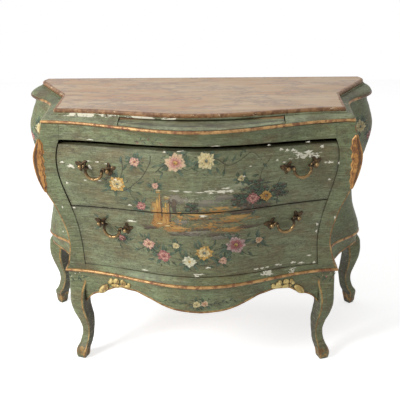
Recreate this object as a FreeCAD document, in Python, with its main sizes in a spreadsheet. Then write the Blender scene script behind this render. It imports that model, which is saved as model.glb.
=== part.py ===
"""A painted bombe commode with two drawers and a brushing slide, as a parametric document.

Frame: millimetres, +X to the right as one faces the chest, -Y to the front, +Z up. The origin is
the bottom centre of the whole chest. The case is bombe (it swells between top and base) and
serpentine (each run of its plan is an S curve), and with age it leans a little to the left above
its base. Its skin is carved through plan outlines at many heights, and the posts, panels, rails
and drawer fronts are all cut from that one skin and therefore line up.
"""

import FreeCAD
import Part
import Sketcher

import math
import os

from FreeCAD import Placement, Rotation, Vector

doc = FreeCAD.newDocument("bombe_chest")

# ---------------------------------------------------------------------------- driving dimensions

SIZES = (
    ("back", 290, "back plane of the case, half the depth"),
    ("slab", 12, "thickness of the painted top"),
    ("slab_bottom", 868, "underside of the top, where the moulding starts"),
    ("fillet_bottom", 863.4, "lower edge of the straight fillet under the top"),
    ("case_top", 840, "top of posts, panels and top rail"),
    ("slope_bottom", 851, "lower edge of the sloping moulding, on top of the upper bead"),
    ("bead_level", 846, "height of the upper gilt bead"),
    ("bead_radius", 5, "radius of both gilt beads"),
    ("base_level", 326, "height of the lower gilt bead"),
    ("case_bottom", 331, "underside of posts, panels and bottom rail"),
    ("skin", 20, "thickness of side panels and aprons"),
    ("post", 42, "thickness of the rear corner posts"),
    ("post_back", -88, "rear face of the front posts"),
    ("rear_post_front", 245, "front face of the rear posts"),
    ("back_front", 272, "inner face of the back boards"),
    ("opening_bottom", 353, "lower edge of the drawer opening"),
    ("opening_top", 791, "upper edge of the drawer opening"),
    ("upper_front_top", 779, "top edge of the upper drawer front, which has sunk a little"),
    ("split_left", 567.5, "joint between the drawer fronts at the left post"),
    ("split_right", 586.5, "the same joint at the right post"),
    ("split_gap", 1.2, "gap between the two drawer fronts"),
    ("gap", 1.6, "gap round a drawer front"),
    ("sag", 1.0, "sideways shift of the upper drawer front"),
    ("board", 12, "thickness of drawer sides and backs"),
    ("panel", 8, "thickness of drawer bottoms"),
    ("dust", 18, "thickness of the boards across the case"),
    ("divider_level", 577, "middle height of the divider between the drawers"),
    ("drawer_back", 236, "rear face of both drawer boxes"),
    ("upper_half", 396, "half the width of the upper drawer box"),
    ("lower_half", 372, "half the width of the lower drawer box"),
    ("upper_floor", 586.3, "underside of the upper drawer box"),
    ("lower_floor", 354, "underside of the lower drawer box"),
    ("upper_side", 176, "height of the upper drawer sides"),
    ("lower_side", 204, "height of the lower drawer sides"),
    ("guide", 20, "width and height of the drawer guides"),
    ("slide_left", -243, "left end of the brushing slide"),
    ("slide_right", 262, "right end of the brushing slide"),
    ("slide_bottom", 851.5, "underside of the brushing slide"),
    ("slide_thick", 10, "thickness of the brushing slide"),
    ("slide_back", 190, "rear edge of the brushing slide"),
    ("bed", 10, "thickness of the board under the brushing slide"),
    ("grip_span", 92, "distance between the two posts of a handle"),
    ("grip_drop", 34, "how far a bail hangs below its pivots"),
    ("grip_wire", 3, "radius of the bail"),
    ("pivot_radius", 2.2, "radius of the bail's pivots"),
    ("pivot_play", 0.08, "radial clearance of a pivot in its post"),
    ("pivot_out", 17, "distance from the drawer front to the pivot axis"),
)

sheet = doc.addObject("Spreadsheet::Sheet", "sizes")
for row, (alias, value, meaning) in enumerate(SIZES, start=1):
    sheet.set(f"A{row}", alias)
    sheet.set(f"B{row}", str(value))
    sheet.set(f"C{row}", meaning)
    sheet.setAlias(f"B{row}", alias)
doc.recompute()


def size(alias):
    """One driving dimension, in millimetres, read back from the sheet."""
    return float(getattr(sheet, alias))


PIECES = []


def piece(shape_object, label):
    """Register a document object as one physical piece, saved under its label."""
    shape_object.Label = label
    PIECES.append(shape_object)
    return shape_object


# ------------------------------------------------------------------------------- plan outlines

# Height against the sideways lean of the case: none at the base and the painted top, most at the
# swell of the upper drawer.
LEAN = ((353, 0), (440, -5), (560, -7), (655, -8.5), (740, -7), (791, -6), (840, -5), (851, -5), (863.4, 0))


def lean(z):
    """Sideways shift of the case at a height."""
    for (low, start), (high, end) in zip(LEAN, LEAN[1:]):
        if low <= z <= high:
            return start + (end - start) * (z - low) / (high - low)
    return 0


# Control shares of the front's serpentine, evenly spaced from corner to corner: a flat end, a
# hollow and a full bow. The curve reaches 1.0 at the centre.
SERPENTINE = (0, 0.07, 0.54, 2.35, 0.54, 0.07, 0)

# Flats in the seven curved runs of an outline: within half a millimetre of the curve on the skin,
# and as coarse as an adze leaves them on the inside.
FINE = (3, 8, 4, 22, 4, 8, 3)
COARSE = (1, 3, 1, 10, 1, 3, 1)


class Outline:
    """Half of a plan outline: its rear, ear, notch and corner points, and the front's centre.

    ear_pull and notch_pull are how far the run between ear and notch holds its end directions.
    """

    def __init__(self, rear, ear, notch, corner, centre, ear_pull=(0, -95), notch_pull=(6, 90),
                 side_pull=(-2, -45)):
        self.rear = Vector(*rear)
        self.ear = Vector(*ear)
        self.notch = Vector(*notch)
        self.corner = Vector(*corner)
        self.centre = centre
        self.ear_pull = Vector(*ear_pull)
        self.notch_pull = Vector(*notch_pull)
        self.side_pull = Vector(*side_pull)

    def grown(self, distance):
        """The outline moved outwards by a distance, except along the back."""
        return Outline(self.rear + Vector(distance, 0), self.ear + Vector(distance, -0.2 * distance),
                       self.notch + Vector(distance, -0.35 * distance),
                       self.corner + Vector(distance, -distance), self.centre - distance,
                       self.ear_pull, self.notch_pull, self.side_pull)

    def toward(self, other, share):
        """The outline a share of the way to another one."""
        def mix(mine, theirs):
            return mine * (1 - share) + theirs * share

        names = ("rear", "ear", "notch", "corner", "centre", "ear_pull", "notch_pull", "side_pull")
        return Outline(*[mix(getattr(self, name), getattr(other, name)) for name in names])

    def front(self):
        """Control points of the front run, from the right corner to the left one."""
        last = len(SERPENTINE) - 1
        depth = self.centre - self.corner.y
        return [Vector(self.corner.x * (1 - 2 * step / last), self.corner.y + depth * share)
                for step, share in enumerate(SERPENTINE)]

    def front_y(self, x):
        """Depth of the front run at a distance from the centre line."""
        along = (1 - x / self.corner.x) / 2
        last = len(SERPENTINE) - 1
        bow = sum(share * math.comb(last, step) * along ** step * (1 - along) ** (last - step)
                  for step, share in enumerate(SERPENTINE))
        return self.corner.y + (self.centre - self.corner.y) * bow

    def runs(self):
        """Control points of the seven curved runs: right side from the rear, front, left side."""
        behind = self.rear - self.ear_pull * 0.1 + Vector(self.ear.x - self.rear.x, -36) * 0.6
        right = [[self.rear, behind, self.ear - self.ear_pull * 0.2, self.ear],
                 [self.ear, self.ear + self.ear_pull, self.notch + self.notch_pull, self.notch],
                 [self.notch, self.notch + self.side_pull, self.corner + Vector(0, 35), self.corner]]
        left = [[Vector(-p.x, p.y) for p in reversed(run)] for run in reversed(right)]
        return right + [self.front()] + left

    def ring(self, z, flats=None):
        """Corners of the closed outline at height z, each run divided into its number of flats."""
        points = []
        for run, count in zip(self.runs(), flats or FINE):
            curve = Part.BezierCurve()
            curve.setPoles(run)
            points += [curve.value(step / count) for step in range(count)]
        points.append(Vector(-self.rear.x, self.rear.y))
        return [Vector(p.x + lean(z), p.y, z) for p in points]


BACK = size("back")
FRONT = -BACK

# The painted top: straight ears cut off at the rear corner, a sharp notch, a shallow front.
TOP = Outline((554, BACK), (562, 242), (457, 51), (456, -128), -203, ear_pull=(-36, -65), notch_pull=(36, 65),
              side_pull=(-1, -60))
# The upper gilt bead: rounded ears, a soft notch and a full bow.
BEAD = Outline((580, BACK), (597, 224), (494, 20), (490, -157), FRONT)


def case_outline(corner_x, corner_y, centre_y, ear_x):
    """Plan of the case skin at one height, from its front corner, front centre and ear."""
    return Outline((ear_x - 16, BACK), (ear_x, 222), (corner_x - 6, 22), (corner_x, corner_y), centre_y)


# Height, then corner x and y, front centre y and ear x of the skin. The waist is near 440 mm.
CASE = (
    (331, 453, -133, -266, 573),
    (357, 442, -138, -244, 569),
    (440, 430, -142, -243, 549),
    (545, 456, -152, -252, 549),
    (640, 497, -160, -258, 588),
    (730, 513, -165, -256, 606),
    (795, 498, -160, -245, 591),
    (818, 493, -156, -253, 582),
    (840, 489, -154, -279, 579),
)


def swell(z, column):
    """One column of CASE at any height, on a smooth curve through the listed heights."""
    rows = list(CASE)
    last = len(rows) - 1
    step = next((n for n in range(last) if z <= rows[n + 1][0]), last - 1)

    def slope(n):
        low, high = rows[max(n - 1, 0)], rows[min(n + 1, last)]
        return (high[column] - low[column]) / (high[0] - low[0])

    (low, start), (high, end) = [(rows[n][0], rows[n][column]) for n in (step, step + 1)]
    span = high - low
    t = (z - low) / span
    return (start * (2 * t ** 3 - 3 * t ** 2 + 1) + span * slope(step) * (t ** 3 - 2 * t ** 2 + t)
            + end * (3 * t ** 2 - 2 * t ** 3) + span * slope(step + 1) * (t ** 3 - t ** 2))


def outline_at(z):
    """Plan of the case skin at any height."""
    return case_outline(*[swell(z, column) for column in (1, 2, 3, 4)])


SKIN_LEVELS = (331, 342, 357, 395, 438, 480, 522, 566, 612, 660, 705, 750, 785, 806, 822, 840)
INNER_LEVELS = (331, 357, 438, 518, 600, 690, 775, 840)
BASE_BEAD = Outline((562, BACK), (575, 222), (452, 22), (456, -138), -273)


def closed(points):
    """A closed outline through a list of points."""
    return Part.makePolygon(points + [points[0]])


def carved(name, rings):
    """A solid through rings of equally many points, in flat facets between each two."""
    faces = [Part.Face(closed(rings[0])), Part.Face(closed(rings[-1]))]
    for low, high in zip(rings, rings[1:]):
        for k in range(len(low)):
            a, b, c, d = low[k - 1], low[k], high[k], high[k - 1]
            warp = abs((b - a).cross(d - a).normalize().dot(c - a))
            corners = [(a, b, c, d)] if warp < 1e-5 else [(a, b, c), (a, c, d)]
            faces += [Part.Face(closed(list(facet))) for facet in corners]
    feature = doc.addObject("Part::Feature", name)
    feature.Shape = Part.makeSolid(Part.makeShell(faces))
    return feature


def upright(name, outline, level, low, high, flats=None):
    """A solid with one plan all the way up, placed as the case leans at one level."""
    ring = outline.ring(level, flats)
    return carved(name, [[Vector(p.x, p.y, z) for p in ring] for z in (low, high)])


def box(name, x, y, z):
    """A block between two bounds on each axis. A bound is a number or an expression of the sheet."""
    block = doc.addObject("Part::Box", name)
    for prop, axis, (low, high) in (("Length", "x", x), ("Width", "y", y), ("Height", "z", z)):
        block.setExpression(prop, f"({high}) - ({low})")
        block.setExpression(f"Placement.Base.{axis}", f"({low}) * 1 mm")
    return block


def common(name, *shapes):
    """What several solids have in common."""
    feature = doc.addObject("Part::MultiCommon", name)
    feature.Shapes = list(shapes)
    return feature


def cut(name, base, tool):
    """A solid less another one."""
    feature = doc.addObject("Part::Cut", name)
    feature.Base = base
    feature.Tool = tool
    return feature


def fuse(name, *shapes):
    """Several solids made into one."""
    feature = doc.addObject("Part::MultiFuse", name)
    feature.Shapes = list(shapes)
    return feature


def mirrored(name, source):
    """The same piece on the other side of the chest."""
    feature = doc.addObject("Part::Mirroring", name)
    feature.Source = source
    feature.Normal = Vector(1, 0, 0)
    return feature


def prism(name, wire, way, length):
    """A closed flat wire pushed along a direction; the length is a number or an expression."""
    face = doc.addObject("Part::Feature", f"{name}_face")
    face.Shape = Part.Face(wire)
    feature = doc.addObject("Part::Extrusion", name)
    feature.Base = face
    feature.DirMode = "Custom"
    feature.Dir = way
    feature.Solid = True
    feature.setExpression("LengthFwd", str(length))
    return feature


# --------------------------------------------------------------------------------- master forms

def hewn_inside(name, distance):
    """The hollow of the case at a distance from its skin, run past the ends and the back."""
    rings = []
    for z in INNER_LEVELS:
        inner = outline_at(z).grown(-distance)
        inner.rear.y = BACK + 10
        past = 2 * ((z == INNER_LEVELS[-1]) - (z == INNER_LEVELS[0]))
        rings.append(inner.ring(z + past, COARSE))
    return carved(name, rings)


case_form = carved("case_form", [outline_at(z).ring(z) for z in SKIN_LEVELS])
case_inside = hewn_inside("case_inside", size("skin"))
post_inside = hewn_inside("post_inside", size("post"))
shell = cut("case_shell", case_form, case_inside)
frame_shell = cut("frame_shell", case_form, post_inside)


# Control half widths of the drawer opening, evenly spaced from its bottom to its top.
OPENING = (386, 388, 375, 432, 469, 432)


def opening_wire(inset, shift, y):
    """The drawer opening in the front: straight top and bottom, sides swelling with the case."""
    low, high = size("opening_bottom"), size("opening_top")
    curve = Part.BezierCurve()
    curve.setPoles([Vector(half - inset, 0, low + (high - low) * step / (len(OPENING) - 1))
                    for step, half in enumerate(OPENING)])
    flats = 10
    side = [curve.value(step / flats) for step in range(flats + 1)]
    right = [Vector(shift + lean(p.z) + p.x, y, p.z) for p in side]
    left = [Vector(shift + lean(p.z) - p.x, y, p.z) for p in reversed(side)]
    return closed(right + left)


def opening_prism(name, inset, shift):
    """The drawer opening run through the front of the case."""
    return prism(name, opening_wire(inset, shift, FRONT - 20), Vector(0, 1, 0), 380)


opening = opening_prism("drawer_opening", 0, 0)
upper_fit = opening_prism("upper_fit", size("gap") + size("sag"), size("sag"))
lower_fit = opening_prism("lower_fit", size("gap"), 0)


def core_wire(corner, centre, z, shift):
    """The space behind a drawer front: flats along the serpentine, closed well behind the case."""
    front = Part.BezierCurve()
    front.setPoles(Outline((600, 400), (600, 200), (600, 0), corner, centre).front())
    flats = 12
    points = [front.value(step / flats) for step in range(flats + 1)]
    points += [Vector(points[-1].x, 400), Vector(points[0].x, 400)]
    return closed([Vector(p.x + shift, p.y, z) for p in points])


UPWARD = Vector(0, 0, 1)
upper_core = prism("upper_core", core_wire((520, -131), -216, 560, -7), UPWARD, 300)
lower_core = prism("lower_core", core_wire((460, -108), -216, 320, -3), UPWARD, 300)

# --------------------------------------------------------------------------- top and mouldings

top_block = prism("top_block", closed(TOP.ring(size("slab_bottom"))), UPWARD, "sizes.slab")
piece(top_block, "top_slab")

fillet_form = carved("fillet_form", [TOP.grown(4).ring(size("fillet_bottom")),
                                     TOP.grown(3).ring(size("slab_bottom"))])
# The sloping face: height against share of the way from the fillet to the bead, a convex profile.
SLOPE = ((size("slope_bottom"), 1.0), (855, 0.9), (859.5, 0.6), (size("fillet_bottom"), 0.06))
slope_form = carved("slope_form", [TOP.grown(4).toward(BEAD.grown(-3), share).ring(z) for z, share in SLOPE])
seat = BEAD.grown(-1.6 * size("bead_radius"))
seat_form = upright("seat_form", seat, size("bead_level"), size("case_top"), size("slope_bottom"))
moulding_form = fuse("moulding_form", fillet_form, slope_form, seat_form)
ear_inside = upright("ear_inside", TOP.grown(-34), size("slab_bottom"), 836, 872, COARSE)


def mitre_block(name, side=0):
    """A wedge that parts the front run from a side run at the corner: side 0 keeps the front."""
    corner = Vector(456, -128)
    inward = Vector(corner.x - 240, corner.y + 190)
    outward = Vector(corner.x + 130, corner.y - 114)
    if side:
        outer = [inward, outward, Vector(800, -100), Vector(800, 330), Vector(200, 330)]
        points = [Vector(side * p.x, p.y, 300) for p in outer]
    else:
        half = [outward, inward]
        points = [Vector(p.x, p.y, 300) for p in half] + [Vector(-p.x, p.y, 300) for p in reversed(half)]
        points += [Vector(-outward.x, -500, 300), Vector(outward.x, -500, 300)]
    return prism(name, closed(points), UPWARD, 600)


front_run = mitre_block("front_run")
left_run = mitre_block("left_run", -1)
right_run = mitre_block("right_run", 1)

slide_slot = box("slide_slot", ("sizes.slide_left - 1.2", "sizes.slide_right + 1.2"), (-330, 0),
                 ("sizes.slope_bottom", "sizes.fillet_bottom - 0.6"))
moulding_ring = cut("moulding_ring", moulding_form, ear_inside)
front_stock = common("front_moulding_stock", moulding_ring, front_run)
piece(cut("front_moulding_cut", front_stock, slide_slot), "front_moulding")
piece(common("left_moulding_run", moulding_ring, left_run), "left_moulding")
piece(common("right_moulding_run", moulding_ring, right_run), "right_moulding")


def bead_ring(name, outline, level):
    """A round bead whose outermost line is the outline, flat where it is glued on."""
    radius = size("bead_radius")
    rings = []
    for angle in (math.radians(step) for step in (-75, -25, 25, 75)):
        rings.append(outline.grown(radius * (math.cos(angle) - 1)).ring(level + radius * math.sin(angle)))
    inner = outline.grown(-1.6 * radius)
    inner.rear.y = BACK + 10
    form = carved(f"{name}_form", rings)
    core = upright(f"{name}_core", inner, level, level - 2 * radius, level + 2 * radius)
    return cut(f"{name}_ring", form, core)


upper_bead = bead_ring("upper_bead", BEAD, size("bead_level"))
lower_bead = bead_ring("lower_bead", BASE_BEAD, size("base_level"))

for bead_name, bead in (("upper_bead", upper_bead), ("lower_bead", lower_bead)):
    for run_name, run in (("front", front_run), ("left", left_run), ("right", right_run)):
        piece(common(f"{bead_name}_{run_name}_run", bead, run), f"{bead_name}_{run_name}")

# ------------------------------------------------------------------------------------ the case

top_span = (lean(size("opening_top")) - OPENING[-1], lean(size("opening_top")) + OPENING[-1])
bottom_span = (-OPENING[0], OPENING[0])
rail_reach = (FRONT - 30, -60)
top_rail_box = box("top_rail_box", top_span, rail_reach, ("sizes.opening_top", "sizes.case_top"))
piece(cut("top_rail_shape", common("top_rail_stock", case_form, top_rail_box), upper_core), "top_rail")
bottom_rail_box = box("bottom_rail_box", bottom_span, rail_reach,
                      ("sizes.case_bottom", "sizes.opening_bottom - sizes.gap"))
piece(cut("bottom_rail_shape", common("bottom_rail_stock", case_form, bottom_rail_box), lower_core),
      "bottom_rail")

post_relief = fuse("post_relief", opening,
                   box("post_over", top_span, (-320, 0), ("sizes.opening_top", 900)),
                   box("post_under", bottom_span, (-320, 0), (300, "sizes.opening_bottom")))
for side_name, reach in (("left", (-700, -300)), ("right", (300, 700))):
    front_block = box(f"{side_name}_front_block", reach, (-320, "sizes.post_back"), (300, 900))
    side_block = box(f"{side_name}_side_block", reach, ("sizes.post_back", "sizes.rear_post_front"),
                     (300, 900))
    rear_block = box(f"{side_name}_rear_block", reach, ("sizes.rear_post_front", "sizes.back"), (300, 900))
    post_stock = common(f"{side_name}_post_stock", case_form, front_block)
    piece(cut(f"{side_name}_post_shape", post_stock, post_relief), f"{side_name}_front_post")
    piece(common(f"{side_name}_panel_shape", shell, side_block), f"{side_name}_side_panel")
    piece(common(f"{side_name}_rear_shape", frame_shell, rear_block), f"{side_name}_rear_post")


def plain_board(label, x, y, z):
    """A sawn board: a sketched rectangle, padded. Each axis has a low and a high bound."""
    body = doc.addObject("PartDesign::Body", f"{label}_body")
    sketch = body.newObject("Sketcher::SketchObject", f"{label}_sketch")
    plane = next(f for f in body.Origin.OriginFeatures if f.Role == "XY_Plane")
    sketch.AttachmentSupport = [(plane, "")]
    sketch.MapMode = "FlatFace"
    corners = [Vector(0, 0), Vector(10, 0), Vector(10, 10), Vector(0, 10)]
    for start, end in zip(corners, corners[1:] + corners[:1]):
        sketch.addGeometry(Part.LineSegment(start, end), False)
    for side in range(4):
        sketch.addConstraint(Sketcher.Constraint("Coincident", side, 2, (side + 1) % 4, 1))
    for side in (0, 2):
        sketch.addConstraint(Sketcher.Constraint("Horizontal", side))
        sketch.addConstraint(Sketcher.Constraint("Vertical", side + 1))
    sketch.addConstraint(Sketcher.Constraint("Coincident", 0, 1, -1, 1))
    for edge, kind, name, (low, high) in ((0, "DistanceX", "length", x), (1, "DistanceY", "width", y)):
        index = sketch.addConstraint(Sketcher.Constraint(kind, edge, 1, edge, 2, 10.0))
        sketch.renameConstraint(index, name)
        sketch.setExpression(f"Constraints.{name}", f"({high}) - ({low})")
    pad = body.newObject("PartDesign::Pad", f"{label}_pad")
    pad.Profile = sketch
    pad.setExpression("Length", f"({z[1]}) - ({z[0]})")
    for axis, (low, _) in zip("xyz", (x, y, z)):
        body.setExpression(f"Placement.Base.{axis}", f"({low}) * 1 mm")
    return body


def scribed_board(name, y, z, front_core=None):
    """A board across the case whose ends are scribed to the swelling sides."""
    stock = common(f"{name}_stock", case_inside, box(f"{name}_box", (-700, 700), y, z))
    shaped = cut(f"{name}_posts", stock, post_blocks)
    return common(f"{name}_front", shaped, front_core) if front_core else shaped


rear_corners = [box(f"rear_corner_{way}", x, ("sizes.rear_post_front", 400), (300, 900))
                for way, x in (("left", (-700, -480)), ("right", (480, 700)))]
front_corners = [box(f"front_corner_{way}", x, (-400, "sizes.post_back"), (300, 900))
                 for way, x in (("left", (-700, -360)), ("right", (360, 700)))]
post_blocks = fuse("post_blocks", *rear_corners, *front_corners)

case_depth = ("sizes.post_back", "sizes.back_front")
clear_core = prism("clear_core", core_wire((460, -106), -214, 320, -3), UPWARD, 280)
bed_box = box("bed_box", (-402, 402), (-320, 262), ("sizes.case_top", "sizes.slide_bottom - 0.5"))
piece(common("bed_shape", bed_box, ear_inside), "slide_bed")
dust_level = ("sizes.divider_level - sizes.dust / 2", "sizes.divider_level + sizes.dust / 2")
piece(scribed_board("dust_board_shape", case_depth, dust_level), "dust_board")
divider_box = box("divider_box", (-440, 430), (-330, "sizes.post_back"), dust_level)
piece(common("divider_shape", clear_core, opening, divider_box), "drawer_divider")
bottom_level = ("sizes.lower_floor - 0.3 - sizes.dust", "sizes.lower_floor - 0.3")
piece(scribed_board("bottom_board_shape", (-330, "sizes.back_front"), bottom_level, clear_core),
      "bottom_board")


def pair(name, label, half_low, half_high, y, z):
    """Two equal strips, one on each side of the centre line, as one group of solids."""
    right = plain_board(f"{name}_right", (half_low, half_high), y, z)
    left = mirrored(f"{name}_left", right)
    group = doc.addObject("Part::Compound", f"{name}_pair")
    group.Links = [left, right]
    return piece(group, label)


pair("upper_guide", "upper_drawer_guides", "sizes.upper_half + 1.5", "sizes.upper_half + 1.5 + sizes.guide",
     case_depth, (dust_level[1], f"{dust_level[1]} + sizes.guide"))
pair("lower_guide", "lower_drawer_guides", "sizes.lower_half + 1.5", "sizes.lower_half + 1.5 + sizes.guide",
     case_depth, (bottom_level[1], f"{bottom_level[1]} + sizes.guide"))
slide_guides = doc.addObject("Part::Compound", "slide_guide_pair")
slide_guide_level = ("sizes.slide_bottom - 0.5", "sizes.slab_bottom")
slide_guides.Links = [
    plain_board("left_slide_guide", ("sizes.slide_left - 1 - sizes.guide * 2", "sizes.slide_left - 1"),
                (-90, 250), slide_guide_level),
    plain_board("right_slide_guide", ("sizes.slide_right + 1", "sizes.slide_right + 1 + sizes.guide * 2"),
                (-90, 250), slide_guide_level)]
piece(slide_guides, "slide_guides")

PLANK_LOWS = (331.5, 500.6, 669.7)
planks = fuse("plank_boxes", *[box(f"plank_{n}", (-700, 700), ("sizes.back_front", "sizes.back"),
                                   (low, low + 168.6)) for n, low in enumerate(PLANK_LOWS)])
nail_heads = doc.addObject("Part::Compound", "nail_set")
nail_spots = [(x, z) for z in (350, 482, 520, 650, 690, 820) for x in (-472, 472)]
nail_heads.Links = [box(f"nail_{n}", (x - 3, x + 3), ("sizes.back - 1.5", "sizes.back"), (z - 3, z + 3))
                    for n, (x, z) in enumerate(nail_spots)]
piece(nail_heads, "back_nails")
piece(cut("nailed_planks", common("back_planks", post_inside, planks), nail_heads), "back_boards")

# -------------------------------------------------------------------------------- apron and legs

apron_form = carved("apron_form", [BASE_BEAD.grown(-14).ring(196),
                                   BASE_BEAD.grown(-8).ring(size("case_bottom"))])
apron_core = BASE_BEAD.grown(-9 - size("skin"))
apron_core.rear.y = BACK + 10
apron_inside = carved("apron_inside", [apron_core.ring(z, COARSE) for z in (190, 340)])
apron_ring = cut("apron_ring", apron_form, apron_inside)


def rounded_square(centre, side, turn):
    """Corners of a square turned about its centre: one corner well rounded, the others eased."""
    half = side / 2
    turned = Rotation(Vector(0, 0, 1), turn)
    points = []
    for corner, share in enumerate((0.34, 0.12, 0.12, 0.12)):
        radius = share * side
        ahead = Rotation(Vector(0, 0, 1), 90 * corner)
        for angle in (180, 210, 240, 270) if corner == 0 else (180, 270):
            swing = Vector(math.cos(math.radians(angle)), math.sin(math.radians(angle))) * radius
            place = ahead.multVec(Vector(radius - half, radius - half) + swing)
            points.append(centre + turned.multVec(place))
    return points


def leg(label, stations):
    """A carved cabriole leg through rounded squares given as height, x, y, side, turn."""
    rings = [rounded_square(Vector(x, y, z), side, turn) for z, x, y, side, turn in stations]
    return carved(f"{label}_form", rings)


FRONT_LEG = (
    (0, -415, -141, 34, -20),
    (8, -414, -143, 39, -21),
    (19, -413, -143, 41, -22),
    (35, -409, -141, 40, -22),
    (51, -402.6, -135, 36, -22),
    (67, -398, -128, 34, -22),
    (83, -395.7, -122, 32.5, -22),
    (99, -395, -117, 34, -22),
    (114, -396.7, -115, 38, -22),
    (130, -399.4, -114, 43, -22),
    (145, -404, -114, 48, -21),
    (161, -409, -114, 51.5, -20),
    (176, -413, -114, 53.5, -20),
    (192, -416, -114, 55, -19),
    (212, -417.4, -113, 56, -18),
    (238, -417, -111, 56.5, -15),
    (265, -418, -106, 58, -10),
    (295, -418, -101, 59, -4),
    (331, -413, -96, 60, 0),
)
REAR_LEG = (
    (0, -560, 260, 26, -40),
    (8, -560, 260, 31, -41),
    (24, -559, 260, 34.5, -42),
    (38, -558.5, 260, 39, -42),
    (50, -557.6, 260, 41, -42),
    (62, -550, 261, 39, -41),
    (76, -544.5, 262, 37, -40),
    (102, -539.7, 262, 36, -38),
    (128, -539.6, 261, 40.6, -35),
    (153, -546, 260, 45, -33),
    (179, -552, 259, 50, -29),
    (204, -557, 258, 54, -24),
    (230, -558.5, 257, 56, -18),
    (255, -557.6, 257, 57, -12),
    (280, -555, 257, 57.5, -7),
    (306, -549, 257, 58, -3),
    (331, -536, 258, 57, 0),
)
for leg_name, stations in (("front_leg", FRONT_LEG), ("rear_leg", REAR_LEG)):
    left_leg = cut(f"left_{leg_name}_fit", leg(f"left_{leg_name}", stations), lower_bead)
    piece(left_leg, f"left_{leg_name}")
    piece(mirrored(f"right_{leg_name}_shape", left_leg), f"right_{leg_name}")
leg_set = fuse("leg_set", *PIECES[-4:])

# Lower edges of the aprons, from the middle outwards: distance along the run, height.
FRONT_EDGE = (((0, 230), (45, 232.5), (85, 236.5), (122, 246), (161, 261), (200, 275), (240, 280),
               (266, 280)),
              ((266, 280), (290, 274), (310, 262), (330, 249), (350, 243), (370, 232), (385, 215)))
SIDE_EDGE = ((-80, 222), (-66, 238), (-40, 250), (10, 252), (60, 247), (92, 257), (112, 272), (140, 282),
             (190, 284), (222, 264), (236, 238))


def eased(points, flats):
    """Points that divide a smooth curve through the given ones into flats."""
    curve = Part.BSplineCurve()
    curve.interpolate(points)
    first, last = curve.FirstParameter, curve.LastParameter
    return [curve.value(first + (last - first) * step / flats) for step in range(flats + 1)]


def front_edge_wire(y):
    """Everything above the front apron's scalloped edge, as a closed upright outline."""
    inner, outer = [[Vector(x, y, z) for x, z in run] for run in FRONT_EDGE]
    mirror = [Vector(-p.x, p.y, p.z) for p in reversed(inner)]
    middle = eased(mirror[:-1] + inner, 28)
    right = eased(outer, 10)
    left = [Vector(-p.x, p.y, p.z) for p in reversed(right)]
    above = 360
    rim = [Vector(outer[-1].x, y, above), Vector(-outer[-1].x, y, above)]
    return closed(left[:-1] + middle + right[1:] + rim)


front_edge = prism("front_edge", front_edge_wire(-320), Vector(0, 1, 0), 320)
front_apron_stock = common("front_apron_stock", apron_ring, front_edge)
piece(cut("front_apron_shape", front_apron_stock, leg_set), "front_apron")

for side_name, way in (("left", -1), ("right", 1)):
    scallops = eased([Vector(way * 620, y, z) for y, z in SIDE_EDGE], 20)
    rim = [Vector(p.x, p.y, 360) for p in (scallops[-1], scallops[0])]
    edge_form = prism(f"{side_name}_edge", closed(scallops + rim), Vector(-way, 0, 0), 300)
    stock = common(f"{side_name}_apron_stock", apron_ring, edge_form)
    piece(cut(f"{side_name}_apron_shape", stock, leg_set), f"{side_name}_apron")
piece(plain_board("rear_apron", (-506, 506), ("sizes.back_front - 8", "sizes.back - 6"),
                  (262, "sizes.case_bottom")), "rear_apron")

piece(plain_board("rear_rail", (-520, 520), ("sizes.back_front", "sizes.back"),
                  ("sizes.case_top", "sizes.slab_bottom")), "rear_top_rail")

blocks = doc.addObject("Part::Compound", "glue_block_set")
BLOCK_SPOTS = ((-300, -130), (-20, -214), (260, -130), (-420, 238), (-20, 242), (380, 238))
blocks.Links = [plain_board(f"glue_block_{n}", (x, x + 40), (y, y + 22), (296, bottom_level[0]))
                for n, (x, y) in enumerate(BLOCK_SPOTS)]
piece(blocks, "glue_blocks")

# -------------------------------------------------------------------------------- brushing slide

slide_span = ("sizes.slide_left", "sizes.slide_right")
slide_level = ("sizes.slide_bottom", "sizes.slide_bottom + sizes.slide_thick")
piece(plain_board("slide_board", slide_span, (-178, "sizes.slide_back"), slide_level), "brushing_slide_board")
piece(common("slide_nose_shape", slope_form, box("nose_box", slide_span, (-330, -178), slide_level)),
      "brushing_slide_nose")

# --------------------------------------------------------------------------------------- drawers


def front_zone(name, bottom, top):
    """The part of the opening that one drawer front fills; its edges are (left, right) heights."""
    reach = size("upper_half")

    def level(edge, x):
        left, right = edge
        return left + (right - left) * (x + reach) / (2 * reach)

    wide = 560
    points = [Vector(x, FRONT - 20, level(edge, x))
              for edge, ends in ((bottom, (-wide, wide)), (top, (wide, -wide))) for x in ends]
    return prism(name, closed(points), Vector(0, 1, 0), 380)


split_l, split_r, split_gap = size("split_left"), size("split_right"), size("split_gap")
upper_zone = front_zone("upper_zone", (split_l, split_r), (size("upper_front_top"), size("upper_front_top")))
lower_zone = front_zone("lower_zone", (300, 300), (split_l - split_gap, split_r - split_gap))


class Handle:
    """One drop handle: the middle of its two posts, the way that it faces, and how askew it sits."""

    def __init__(self, x, y, z, facing, slope):
        turned = Rotation(UPWARD, facing).multiply(Rotation(Vector(0, 1, 0), -slope))
        self.place = Placement(Vector(x, y, z), turned)

    def axis(self):
        """Direction of the line through both posts."""
        return self.place.Rotation.multVec(Vector(1, 0, 0))

    def pivot(self):
        """Middle of the bail's swing axis."""
        return self.place.multVec(Vector(0, -size("pivot_out"), 0))


def handle_at(x, z, slope):
    """A handle on the drawer front; slope is the rise of its right post over its left, in degrees."""
    outline = outline_at(z)
    half = size("grip_span") / 2
    left, right = [outline.front_y(x - lean(z) + way * half) for way in (-1, 1)]
    facing = math.degrees(math.atan2(right - left, 2 * half))
    return Handle(x, (left + right) / 2, z, facing, slope)


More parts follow.
